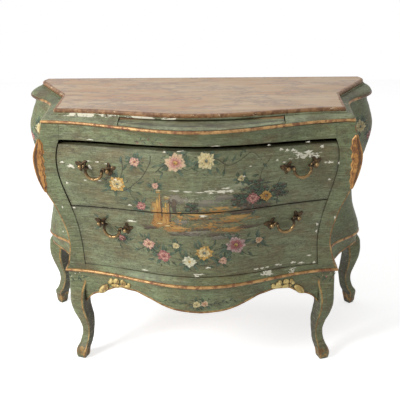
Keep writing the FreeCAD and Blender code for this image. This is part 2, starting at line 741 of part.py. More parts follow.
UPPER_HANDLES = {"left": handle_at(-323, 709, -5), "right": handle_at(317, 713.5, 5)}
LOWER_HANDLES = {"left": handle_at(-276, 508.5, -8.2), "right": handle_at(268, 526, 9.5)}


def placed(name, shape_object, place):
    """A copy of a part of a handle at its place on the drawer."""
    link = doc.addObject("Part::Compound", name)
    link.Links = [shape_object]
    link.Placement = place
    return link


def ring_of(sides, radius):
    """Corners of a regular polygon about the origin, one flat facing along the first axis."""
    turns = [2 * math.pi * (k + 0.5) / sides for k in range(sides)]
    return [Vector(radius * math.cos(turn), radius * math.sin(turn)) for turn in turns]


def turned_post():
    """A cast post: a thin shank through the front, a neck and a round head bored for the bail."""
    out = size("pivot_out")
    shank, neck, head = 2.9, 3.8, 6.6
    profile = ((52, shank), (-0.6, shank), (-1.2, 6.2), (-6, neck), (5.6 - out, neck), (3 - out, head),
               (-out - 3, head), (-out - 5.6, 4.2), (-out - head, 1.2))
    rings = [[Vector(p.x, y, p.y) for p in ring_of(8, radius)] for y, radius in profile]
    turning = carved("post_turned", rings)
    bore = doc.addObject("Part::Cylinder", "post_bore")
    bore.setExpression("Radius", "sizes.pivot_radius + sizes.pivot_play")
    bore.Height = 20
    bore.Placement = Placement(Vector(-10, -out, 0), Rotation(Vector(0, 1, 0), 90))
    return cut("bored_post", turning, bore)


def leaf_plate():
    """A cast back plate: a leafy oval with lobes round its rim, to be bored by its post."""
    lobes = 8
    points = []
    for step in range(2 * lobes):
        angle = math.pi * step / lobes
        reach = (19 if step % 2 == 0 else 13.5) + 3 * math.sin(angle)
        points.append(Vector(reach * math.cos(angle), 8, reach * math.sin(angle)))
    return prism("leaf_plate", closed(points), Vector(0, -1, 0), 11)


post_source = turned_post()
plate_source = cut("bored_plate", leaf_plate(), post_source)


def drawer(name, handles, fit, zone, core, half, floor, height):
    """One drawer: a carved front, a nailed box, and the fixed metalwork of its two handles."""
    half, floor, height = f"sizes.{half}", f"sizes.{floor}", f"sizes.{height}"
    solid_front = cut(f"{name}_front_solid", common(f"{name}_front_stock", case_form, fit, zone), core)
    span = size("grip_span") / 2
    spots = [handle.place.multiply(Placement(Vector(way * span, 0, 0), Rotation()))
             for handle in handles.values() for way in (-1, 1)]
    posts = [placed(f"{name}_post_{n}", post_source, spot) for n, spot in enumerate(spots)]
    post_group = doc.addObject("Part::Compound", f"{name}_posts")
    post_group.Links = posts
    piece(cut(f"{name}_front_bored", solid_front, post_group), f"{name}_front")
    plates = doc.addObject("Part::Compound", f"{name}_plate_set")
    plates.Links = [placed(f"{name}_plate_{n}", plate_source, spot) for n, spot in enumerate(spots)]
    piece(cut(f"{name}_plates_seated", plates, solid_front), f"{name}_handle_plates")
    inner = (f"sizes.board - {half}", f"{half} - sizes.board")
    back = ("sizes.drawer_back - sizes.board", "sizes.drawer_back")
    tall = (floor, f"{floor} + {height}")
    for side, span in (("left", (f"-{half}", inner[0])), ("right", (inner[1], half))):
        side_box = box(f"{name}_{side}_box", span, (FRONT - 40, "sizes.drawer_back"), tall)
        piece(common(f"{name}_{side}_shape", side_box, core), f"{name}_{side}_side")
    piece(plain_board(f"{name}_back", inner, back, tall), f"{name}_back")
    bottom_box = box(f"{name}_bottom_box", inner, (-330, back[0]),
                     (f"{floor} + 3", f"{floor} + 3 + sizes.panel"))
    piece(common(f"{name}_bottom_shape", bottom_box, core), f"{name}_bottom")
    piece(post_group, f"{name}_handle_posts")


drawer("upper_drawer", UPPER_HANDLES, upper_fit, upper_zone, upper_core, "upper_half", "upper_floor",
       "upper_side")
drawer("lower_drawer", LOWER_HANDLES, lower_fit, lower_zone, lower_core, "lower_half", "lower_floor",
       "lower_side")


def mitred_rod(name, path, radius):
    """A six-sided rod along an upright path of (x, z) points, mitred at each bend."""
    points = [Vector(x, 0, z) for x, z in path]
    ways = [(end - start).normalize() for start, end in zip(points, points[1:])]
    rings = []
    for point, before, after in zip(points, ways[:1] + ways, ways + ways[-1:]):
        along = (before + after).normalize()
        across = along.cross(Vector(0, 1, 0)) / along.dot(before)
        rings.append([point + across * p.x + Vector(0, p.y, 0) for p in ring_of(6, radius)])
    return carved(name, rings)


def bail():
    """A swan-neck bail: pivots at the ends, a tight S at each side and a round bow below."""
    end = size("grip_span") / 2 - 10.5
    bow = 26.5
    low = bow - size("grip_drop")
    neck = [(end, -2.6), (end, 2), (end - 2.5, 5.6), (end - 6.2, 5.9), (bow + 0.5, 2.6)]
    turns = [math.radians(angle) for angle in range(0, -181, -20)]
    swing = [(bow * math.cos(turn), low + bow * math.sin(turn)) for turn in turns]
    path = neck + swing + [(-x, z) for x, z in reversed(neck)]
    bent = mitred_rod("bail_bent", path, size("grip_wire"))
    pins = []
    for name, way in (("left", -1), ("right", 1)):
        pin = doc.addObject("Part::Cylinder", f"{name}_pin")
        pin.setExpression("Radius", "sizes.pivot_radius")
        pin.Height = 16
        pin.Placement = Placement(Vector(way * (end - 1.5), 0, 0), Rotation(Vector(0, 1, 0), way * 90))
        pins.append(pin)
    return fuse("bail_shape", bent, *pins)


bail_source = bail()
for drawer_name, handles in (("upper", UPPER_HANDLES), ("lower", LOWER_HANDLES)):
    for side_name, handle in handles.items():
        bail_name = f"{drawer_name}_{side_name}_bail"
        axis, pivot = handle.axis(), handle.pivot()
        place = Placement(pivot, handle.place.Rotation)
        piece(placed(f"{bail_name}_placed", bail_source, place), bail_name)
        print(f"{bail_name}: pivot {pivot.x:.2f} {pivot.y:.2f} {pivot.z:.2f}, "
              f"axis {axis.x:.5f} {axis.y:.5f} {axis.z:.5f}")

# --------------------------------------------------------------------------------- gilt carvings

mount_form = carved("mount_form", [outline_at(z).grown(8).ring(z) for z in SKIN_LEVELS if 560 < z < 830])


def leaf_outline(way, drop):
    """The corner leaf seen along the diagonal: half widths by height, with scalloped edges.

    way is -1 for the left corner and 1 for the right one; drop is how low the leaf is nailed.
    """
    heights = (624, 646, 678, 712, 744, 774, 799)
    halves = (3, 14, 22, 26, 27, 23, 8)
    away = Vector(way, -1, 0).normalize()
    across = Vector(-way, -1, 0).normalize()
    hub = Vector(way * 470 + lean(712), -130, 0) + away * 120
    reach = 2.5

    def scallops(edge):
        """One edge of the leaf, with a lobe standing out between each two points."""
        points = [hub + across * edge * half + UPWARD * (z - drop) for z, half in zip(heights, halves)]
        middles = [(start + end) * 0.5 + across * edge * reach for start, end in zip(points, points[1:])]
        return [p for both in zip(points, middles) for p in both] + points[-1:]

    return closed(scallops(1) + list(reversed(scallops(-1))))


for side_name, way, drop in (("left", -1, 9), ("right", 1, 0)):
    leaf_prism = prism(f"{side_name}_leaf_prism", leaf_outline(way, drop), Vector(-way, 1, 0), 260)
    leaf_stock = common(f"{side_name}_mount_stock", mount_form, leaf_prism)
    piece(cut(f"{side_name}_mount_shape", leaf_stock, case_form), f"{side_name}_corner_mount")

carving_form = carved("carving_form", [BASE_BEAD.grown(-5).ring(240), BASE_BEAD.grown(-2).ring(318)])
CARVING = ((-345, 250), (-330, 268), (-318, 282), (-308, 300), (-290, 309), (-262, 312), (-240, 310),
           (-226, 302), (-228, 290), (-242, 286), (-262, 284), (-284, 281), (-300, 276), (-316, 262),
           (-330, 248))
carving_prism = prism("carving_prism", closed([Vector(x, -320, z) for x, z in CARVING]), Vector(0, 1, 0), 200)
carving_stock = common("left_carving_stock", carving_form, carving_prism)
left_carving = cut("left_carving_shape", carving_stock, apron_form)
carvings = doc.addObject("Part::Compound", "apron_carving_pair")
carvings.Links = [left_carving, mirrored("right_carving_shape", left_carving)]
piece(carvings, "apron_carvings")

# -------------------------------------------------------------------------------------- hand-in

doc.recompute()
failed = [f"{item.Name}: {item.State}" for item in doc.Objects if {"Invalid", "Error"} & set(item.State)]
for item in PIECES:
    if item.Shape.isNull() or not item.Shape.isValid() or not item.Shape.Solids:
        failed.append(f"{item.Label}: bad shape")
if failed:
    raise SystemExit("\n".join(failed))
os.makedirs("parts", exist_ok=True)
for item in PIECES:
    item.Shape.exportStep(f"parts/{item.Label}.step")
print(f"{len(PIECES)} pieces written")
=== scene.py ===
"""Dressing of a painted bombe chest: its swelling skin, carving, gilding, painted flowers and metalwork.

The chest stands at the centre of the frame, its front towards -Y. Sizes inside the classes are in
millimetres, as a maker would read them off a rod, and every mesh is written out in metres.
"""

import logging
import math
from collections.abc import Callable
from dataclasses import dataclass, field, fields, replace
from enum import Enum

import bmesh
import bpy
import numpy as np
from mathutils import Matrix, Vector


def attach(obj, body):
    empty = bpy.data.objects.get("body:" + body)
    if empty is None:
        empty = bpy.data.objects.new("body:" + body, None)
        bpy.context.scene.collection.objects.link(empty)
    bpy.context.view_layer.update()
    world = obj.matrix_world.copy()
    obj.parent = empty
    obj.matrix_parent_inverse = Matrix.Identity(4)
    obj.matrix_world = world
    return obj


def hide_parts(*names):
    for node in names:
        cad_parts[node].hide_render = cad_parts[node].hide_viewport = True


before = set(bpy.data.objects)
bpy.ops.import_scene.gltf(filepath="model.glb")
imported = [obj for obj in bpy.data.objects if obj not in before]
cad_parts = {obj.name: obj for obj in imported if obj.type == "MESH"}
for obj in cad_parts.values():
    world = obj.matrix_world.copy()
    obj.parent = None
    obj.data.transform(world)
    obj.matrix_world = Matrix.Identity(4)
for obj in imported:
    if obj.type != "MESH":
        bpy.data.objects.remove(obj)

LOG = logging.getLogger("chest")
Array = np.ndarray
Socket = bpy.types.NodeSocket
Look = tuple[dict[str, object], Socket, float]
MM = 0.001
BACK = 290.0
BASE_LEVEL = 331
CROWN_LEVEL = 840


# ------------------------------------------------------------------------------------ the curves

def flow(xs: Array, ys: Array, at: Array) -> Array:
    """A smooth curve through points.

    Args:
        xs: Places of the points, rising.
        ys: Heights of the points, one column or more.
        at: Places to read the curve at.

    Returns:
        The heights there.
    """
    xs, ys, at = np.asarray(xs, float), np.asarray(ys, float), np.asarray(at, float)
    last = len(xs) - 1
    ends = [(max(n - 1, 0), min(n + 1, last)) for n in range(last + 1)]
    slopes = np.array([(ys[b] - ys[a]) / (xs[b] - xs[a]) for a, b in ends])
    step = np.clip(np.searchsorted(xs, at) - 1, 0, last - 1)
    span = xs[step + 1] - xs[step]
    t = np.clip((at - xs[step]) / span, 0, 1)
    if ys.ndim > 1:
        t, span = t[..., None], span[..., None]
    return (ys[step] * (2 * t ** 3 - 3 * t ** 2 + 1) + span * slopes[step] * (t ** 3 - 2 * t ** 2 + t)
            + ys[step + 1] * (3 * t ** 2 - 2 * t ** 3) + span * slopes[step + 1] * (t ** 3 - t ** 2))


def bezier(poles: Array, t: Array) -> Array:
    """Points of a Bezier curve at the shares t of its length."""
    last = len(poles) - 1
    t = np.asarray(t, float)[:, None]
    return sum(math.comb(last, k) * t ** k * (1 - t) ** (last - k) * np.asarray(pole, float)
               for k, pole in enumerate(poles))


def ease(low: float, high: float, value: Array) -> Array:
    """0 below low, 1 above high and a smooth step between."""
    t = np.clip((np.asarray(value, float) - low) / (high - low), 0, 1)
    return t * t * (3 - 2 * t)


def ripple(points: Array, size: float, seed: float = 0.0) -> Array:
    """Soft irregularity of hand work, between -1 and 1, the same every time.

    Args:
        points: Places, the last axis being x, y and z.
        size: Distance between bumps.
        seed: Shifts the pattern.
    """
    p = np.asarray(points, float) * (2 * math.pi / size)
    x, y, z = p[..., 0] + seed, p[..., 1] + 1.7 * seed, p[..., 2] - seed
    return (np.sin(x + 1.3 * np.sin(0.7 * z + y)) + np.sin(1.31 * y + 0.9 * np.sin(x * 0.61))
            + np.sin(1.17 * z + 1.1 * np.sin(0.83 * y + 0.4 * x))) / 3


SERPENTINE = (0, 0.07, 0.54, 2.35, 0.54, 0.07, 0)


def bow(along: Array) -> Array:
    """Share of the front's serpentine at a share of the way from corner to corner."""
    last = len(SERPENTINE) - 1
    return sum(share * math.comb(last, k) * along ** k * (1 - along) ** (last - k)
               for k, share in enumerate(SERPENTINE))


@dataclass(frozen=True)
class Plan:
    """Half of a level outline of the chest, by its rear, ear, notch and corner, and its front centre."""

    rear: tuple[float, float]
    ear: tuple[float, float]
    notch: tuple[float, float]
    corner: tuple[float, float]
    centre: float
    ear_pull: tuple[float, float] = (0, -95)
    notch_pull: tuple[float, float] = (6, 90)
    side_pull: tuple[float, float] = (-2, -45)

    def grown(self, by: float) -> "Plan":
        """The outline moved outwards, except along the back."""
        def moved(point: tuple[float, float], share: float) -> tuple[float, float]:
            """A point moved out by the distance and forward by a share of it."""
            return point[0] + by, point[1] - share * by

        return replace(self, rear=moved(self.rear, 0), ear=moved(self.ear, 0.2),
                       notch=moved(self.notch, 0.35), corner=moved(self.corner, 1), centre=self.centre - by)

    def toward(self, other: "Plan", share: float) -> "Plan":
        """The outline a share of the way to another one."""
        def mix(name: str) -> tuple[float, float] | float:
            """One field of the outline between."""
            mine, theirs = np.asarray(getattr(self, name), float), np.asarray(getattr(other, name), float)
            mixed = mine * (1 - share) + theirs * share
            return float(mixed) if mixed.ndim == 0 else tuple(mixed)

        return Plan(*[mix(made.name) for made in fields(self)])

    def front_y(self, x: Array) -> Array:
        """Depth of the front at distances from the centre line."""
        along = (1 - np.asarray(x, float) / self.corner[0]) / 2
        return self.corner[1] + (self.centre - self.corner[1]) * bow(along)

    def front(self, x: Array, z: float) -> Array:
        """Points of the front run at the distances x."""
        x = np.asarray(x, float)
        return np.stack([x, self.front_y(x), np.full(x.shape, z)], axis=-1)

    def side_line(self, counts: tuple[int, int, int] = (14, 40, 16)) -> Array:
        """The right side as plan points from the front corner to the rear."""
        knots = (self.rear, self.ear, self.notch, self.corner, self.ear_pull, self.notch_pull,
                 self.side_pull)
        rear, ear, notch, corner, pull, notch_pull, side_pull = (np.array(knot, float) for knot in knots)
        runs = ([corner, corner + (0, 35), notch + side_pull, notch],
                [notch, notch + notch_pull, ear + pull, ear],
                [ear, ear - pull * 0.2, rear - pull * 0.1 + np.array([ear[0] - rear[0], -36]) * 0.6, rear])
        return np.concatenate([bezier(run, np.linspace(0, 1, count + 1)[(n > 0):])
                               for n, (run, count) in enumerate(zip(runs, counts))])

    def side(self, way: int, z: float, y: Array | None = None) -> Array:
        """Points of one side, at its own stations or at the depths y."""
        line = self.side_line()
        if y is not None:
            line = np.stack([np.interp(y, line[:, 1], line[:, 0]), np.asarray(y, float)], axis=-1)
        return np.column_stack([line[:, 0] * way, line[:, 1], np.full(len(line), z)])


TOP = Plan((554, BACK), (562, 242), (457, 51), (456, -128), -203, (-36, -65), (36, 65), (-1, -60))
BEAD = Plan((580, BACK), (597, 224), (494, 20), (490, -157), -BACK)
BASE = Plan((562, BACK), (575, 222), (452, 22), (456, -138), -273)

# Height against the sideways lean that age has given the case.
LEAN = np.array([(353, 0), (440, -5), (560, -7), (655, -8.5), (740, -7), (791, -6), (840, -5), (851, -5),
                 (863.4, 0)], float)


def lean(z: Array) -> Array:
    """Sideways shift of the case at heights z."""
    return np.interp(z, LEAN[:, 0], LEAN[:, 1])


# Height, corner x, corner y, front centre y and ear x of the skin.
CASE = np.array([
    (331, 453, -133, -266, 573), (357, 442, -138, -244, 569), (440, 430, -142, -243, 549),
    (545, 456, -152, -252, 549), (640, 497, -160, -258, 588), (730, 513, -165, -256, 606),
    (795, 498, -160, -245, 591), (818, 493, -156, -253, 582), (840, 489, -154, -279, 579)], float)


def case_plan(z: float) -> Plan:
    """Plan of the case skin at a height."""
    corner_x, corner_y, centre_y, ear_x = flow(CASE[:, 0], CASE[:, 1:], np.array([z]))[0]
    return Plan((ear_x - 16, BACK), (ear_x, 222), (corner_x - 6, 22), (corner_x, corner_y), centre_y)


def apron_plan(z: float) -> Plan:
    """Plan of the aprons at a height, leaning out a little upwards."""
    return BASE.grown(-14).toward(BASE.grown(-8), (z - 196) / 135)


def on_front(x: Array, z: Array, lift: float = 0.0) -> Array:
    """Points of the swelling front, at distances x and heights z, lifted off it towards the viewer."""
    x, z = np.broadcast_arrays(np.asarray(x, float), np.asarray(z, float))
    columns = flow(CASE[:, 0], CASE[:, 1:4], z.ravel()).reshape(z.shape + (3,))
    along = (1 - x / columns[..., 0]) / 2
    y = columns[..., 1] + (columns[..., 2] - columns[..., 1]) * bow(along)
    return np.stack([x, y - lift, z], axis=-1)


def on_side(y: Array, z: Array, way: int, lift: float = 0.0) -> Array:
    """Points of the swelling side, at depths y and heights z, lifted off it outwards."""
    y, z = np.broadcast_arrays(np.asarray(y, float), np.asarray(z, float))
    levels = np.linspace(BASE_LEVEL, CROWN_LEVEL, 128)
    depths = np.linspace(-150, BACK, 220)
    table = np.array([case_plan(level).side(1, 0, depths)[:, 0] for level in levels])
    row = np.clip((z - levels[0]) / (levels[1] - levels[0]), 0, len(levels) - 1.001)
    column = np.clip((y - depths[0]) / (depths[1] - depths[0]), 0, len(depths) - 1.001)
    r, c = row.astype(int), column.astype(int)
    a, b = row - r, column - c
    x = ((table[r, c] * (1 - b) + table[r, c + 1] * b) * (1 - a)
         + (table[r + 1, c] * (1 - b) + table[r + 1, c + 1] * b) * a)
    return np.stack([way * (x + lift), y, z], axis=-1)


def hand(way: int) -> str:
    """Name of a side: left for -1, right for 1."""
    return "left" if way < 0 else "right"


def turned(x: Array, y: Array, turn: float) -> tuple[Array, Array]:
    """Level distances, turned by an angle in degrees."""
    c, s = math.cos(math.radians(turn)), math.sin(math.radians(turn))
    return x * c - y * s, x * s + y * c


def bell(value: Array, middle: float, width: float) -> Array:
    """1 in the middle, falling off softly to both sides."""
    return np.exp(-((value - middle) / width) ** 2)


# ------------------------------------------------------------------------------------- the forms

class Form:
    """Points, faces and per-point marks of one piece, gathered before they become a mesh.

    Marks are named shares from 0 to 1, such as where the gilding lies or the paint flakes. The
    finishes read them.
    """

    def __init__(self, leans: bool = True) -> None:
        """An empty form, which leans with the case unless told otherwise."""
        self.leans = leans
        self.points: list[Array] = []
        self.faces: list[tuple[int, ...]] = []
        self.marks: list[dict[str, Array]] = []
        self.count = 0

    def add(self, points: Array, faces: list[tuple[int, ...]], marks: dict[str, Array]) -> None:
        """Add a grid of points with the faces between them, and its marks."""
        flat = np.array(points, float).reshape(-1, 3)
        if self.leans:
            flat[:, 0] += lean(flat[:, 2])
        self.points.append(flat)
        self.marks.append({name: np.broadcast_to(np.asarray(value, float), points.shape[:2]).ravel()
                           for name, value in marks.items()})
        self.faces += [tuple(index + self.count for index in face) for face in faces]
        self.count += len(flat)

    def sheet(self, grid: Array, closed: bool = False, **marks: Array | float) -> None:
        """Add an open sheet from a grid of points, or a tube if its columns close."""
        rows, columns = grid.shape[:2]
        across = columns if closed else columns - 1
        faces = [(r * columns + c, r * columns + (c + 1) % columns, (r + 1) * columns + (c + 1) % columns,
                  (r + 1) * columns + c) for r in range(rows - 1) for c in range(across)]
        self.add(grid, faces, marks)

    def stack(self, rings: Array, **marks: Array | float) -> None:
        """Add a solid through closed rings of equally many points."""
        rows, columns = rings.shape[:2]
        start = self.count
        self.sheet(rings, closed=True, **marks)
        last = start + (rows - 1) * columns
        self.faces += [tuple(range(start + columns - 1, start - 1, -1)), tuple(range(last, last + columns))]

    def slab(self, front: Array, back: Array, **marks: Array | float) -> None:
        """Add a board between a front grid and a back grid. The marks lie on the front and its rim."""
        rings = np.concatenate([front, back[:, ::-1]], axis=1)
        hidden = np.zeros(back.shape[:2])
        values = {name: np.concatenate([np.broadcast_to(value, front.shape[:2]), hidden], axis=1)
                  for name, value in marks.items()}
        rows, columns = rings.shape[:2]
        start = self.count
        self.sheet(rings, closed=True, **values)
        for row, up in ((0, False), (rows - 1, True)):
            base = start + row * columns
            for c in range(front.shape[1] - 1):
                face = (base + c, base + c + 1, base + columns - 2 - c, base + columns - 1 - c)
                self.faces.append(face if up else face[::-1])

    def piece(self, name: str, body: str, finish: "Finish", stands_for: str = "", sharp: float = 38,
              bevel: float = 0.0) -> bpy.types.Object:
        """Make the mesh, dress it and let it ride on its body.

        Args:
            name: Name of the piece.
            body: The CAD body that it moves with.
            finish: Its finish.
            stands_for: The CAD node that it replaces, if any.
            sharp: Angle in degrees above which an edge stays crisp.
            bevel: Width of the worn arris on crisp edges.

        Returns:
            The object.
        """
        mesh = bpy.data.meshes.new(name)
        mesh.from_pydata((np.concatenate(self.points) * MM).tolist(), [], self.faces)
        for mark in sorted({name for marks in self.marks for name in marks}):
            values = np.concatenate([marks.get(mark, np.zeros(len(points)))
                                     for points, marks in zip(self.points, self.marks)])
            mesh.attributes.new(mark, "FLOAT", "POINT").data.foreach_set("value", values)
        solid = bmesh.new()
        solid.from_mesh(mesh)
        bmesh.ops.recalc_face_normals(solid, faces=solid.faces)
        solid.to_mesh(mesh)
        solid.free()
        mesh.polygons.foreach_set("use_smooth", [True] * len(mesh.polygons))
        mesh.set_sharp_from_angle(angle=math.radians(sharp))
        mesh.materials.append(finish.material())
        made = bpy.data.objects.new(name, mesh)
        bpy.context.scene.collection.objects.link(made)
        if bevel:
            arris = made.modifiers.new("worn_arris", "BEVEL")
            arris.width = bevel * MM
            arris.segments = 2
            arris.limit_method = "ANGLE"
            arris.angle_limit = math.radians(50)
        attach(made, body)
        if stands_for:
            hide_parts(stands_for)
        LOG.info("%s: %d points, on %s", name, self.count, body)
        return made


def tube(path: Array, radii: Array, sides: int = 14) -> Array:
    """Rings round a smooth path, for a bent rod.

    Args:
        path: Points of its middle line.
        radii: Radius at each point.
        sides: Points of each ring.
    """
    ways = np.gradient(path, axis=0)
    ways /= np.linalg.norm(ways, axis=1)[:, None]
    normal = np.cross(ways[0], (0.3, 1, 0.2))
    turn = np.linspace(0, 2 * math.pi, sides, endpoint=False)[:, None]
    rings = []
    for point, way, radius in zip(path, ways, radii):
        normal = normal - way * normal.dot(way)
        normal /= np.linalg.norm(normal)
        rings.append(point + radius * (np.cos(turn) * normal + np.sin(turn) * np.cross(way, normal)))
    return np.array(rings)


def lathe(profile: tuple[tuple[float, float], ...], sides: int) -> Array:
    """Rings of a turned piece on an axis along Y, from its depths and radii."""
    turns = np.linspace(0, 2 * math.pi, sides, endpoint=False)
    return np.array([np.column_stack([radius * np.cos(turns), np.full(sides, y), radius * np.sin(turns)])
                     for y, radius in profile])


# ---------------------------------------------------------------------------------- the finishes

def colour(red: int, green: int, blue: int) -> tuple[float, float, float, float]:
    """A colour written as it is seen, from 0 to 255, as the shader's linear value."""
    return tuple((c / 255 / 12.92 if c / 255 <= 0.04045 else ((c / 255 + 0.055) / 1.055) ** 2.4)
                 for c in (red, green, blue)) + (1.0,)


class Bench:
    """Adds nodes to one tree. An input that is a socket is linked, any other value is set."""

    def __init__(self, tree: bpy.types.NodeTree) -> None:
        """Work on a node tree."""
        self.tree = tree

    def add(self, kind: str, inputs: dict | None = None, **settings: object) -> bpy.types.Node:
        """Add a node.

        Args:
            kind: Its type, without the common prefix.
            inputs: Values or sockets by input name or number.
            settings: The node's own properties.
        """
        node = self.tree.nodes.new(f"ShaderNode{kind}")
        for name, value in settings.items():
            setattr(node, name, value)
        for name, value in (inputs or {}).items():
            if isinstance(value, Socket):
                self.tree.links.new(value, node.inputs[name])
            else:
                node.inputs[name].default_value = value
        return node

    def group(self, effect: "Effect", **inputs: object) -> "bpy.types.bpy_prop_collection":
        """The outputs of a shared effect with its own values."""
        return self.add("Group", inputs, node_tree=effect.tree()).outputs

    def math(self, operation: str, a: object, b: object, clamp: bool = False) -> Socket:
        """One step of arithmetic."""
        return self.add("Math", {0: a, 1: b}, operation=operation, use_clamp=clamp).outputs[0]

    def times(self, a: object, b: object, clamp: bool = False) -> Socket:
        """The product of two values."""
        return self.math("MULTIPLY", a, b, clamp)

    def plus(self, a: object, b: object, clamp: bool = False) -> Socket:
        """The sum of two values."""
        return self.math("ADD", a, b, clamp)

    def minus(self, a: object, b: object) -> Socket:
        """The first value less the second."""
        return self.math("SUBTRACT", a, b)

    def most(self, a: object, b: object) -> Socket:
        """The larger value."""
        return self.math("MAXIMUM", a, b)

    def mix(self, share: object, a: object, b: object) -> Socket:
        """Blend two colours."""
        return self.add("Mix", {"Factor": share, 6: a, 7: b}, data_type="RGBA").outputs[2]

    def step(self, value: object, low: float, high: float) -> Socket:
        """A soft threshold from 0 at low to 1 at high."""
        return self.add("MapRange", {"Value": value, "From Min": low, "From Max": high},
                        interpolation_type="SMOOTHSTEP").outputs[0]

    def spread(self, value: object, low: float, high: float, first: float = 0.0,
               last: float = 1.0) -> Socket:
        """A value between first and last, spread from low to high."""
        return self.add("MapRange", {"Value": value, "From Min": first, "From Max": last, "To Min": low,
                                     "To Max": high}).outputs[0]

    def cloud(self, place: object, scale: object, detail: float = 4, rough: float = 0.55,
              twist: float = 0.0) -> bpy.types.Node:
        """A node of cloudy variation."""
        return self.add("TexNoise", {"Vector": place, "Scale": scale, "Detail": detail, "Roughness": rough,
                                     "Distortion": twist})

    def noise(self, place: object, scale: object, detail: float = 4, rough: float = 0.55,
              twist: float = 0.0) -> Socket:
        """Cloudy variation from 0 to 1."""
        return self.cloud(place, scale, detail, rough, twist).outputs[0]

    def walls(self, place: object, warp: bpy.types.Node, scale: float) -> Socket:
        """Distance to the walls between cells that a cloud bends."""
        bent = self.add("VectorMath", {0: place, 1: warp.outputs[1]}, operation="ADD").outputs[0]
        return self.add("TexVoronoi", {"Vector": bent, "Scale": scale},
                        feature="DISTANCE_TO_EDGE").outputs[0]

    def stretched(self, place: object, x: float, y: float, z: float, turn: tuple = (0, 0, 0)) -> Socket:
        """Coordinates scaled along each axis."""
        return self.add("Mapping", {"Vector": place, "Scale": (x, y, z), "Rotation": turn}).outputs[0]

    def scaled(self, value: object, scale: object) -> Socket:
        """Coordinates or a colour, times a number."""
        return self.add("VectorMath", {0: value, "Scale": scale}, operation="SCALE").outputs[0]

    def mark(self, name: str) -> Socket:
        """A mark that the piece carries, 0 where it has none."""
        return self.add("Attribute", attribute_name=name, attribute_type="GEOMETRY").outputs["Fac"]

    def ragged(self, place: Socket, mark: str, scale: float, broken: float) -> Socket:
        """A mark of the piece with a broken edge."""
        return self.group(Effect.RAGGED, Place=place, Mask=self.mark(mark), Scale=scale, Break=broken)[0]

    def seen(self) -> Socket:
        """1 where the camera, a mirror or a glass looks at the surface."""
        path = self.add("LightPath").outputs
        return self.most(self.most(path["Is Camera Ray"], path["Is Glossy Ray"]),
                         path["Is Transmission Ray"])


class Effect(Enum):
    """The shared shader effects, each a node group that is built once."""

    PATINA = "patina"
    FLAKING = "flaking"
    CRACKLE = "crackle"
    RAGGED = "ragged"
    GRAIN = "wood_grain"

    def tree(self) -> bpy.types.NodeTree:
        """The node group, built on first use."""
        found = bpy.data.node_groups.get(self.value)
        return found or getattr(EffectMaker(self.value), self.value)()


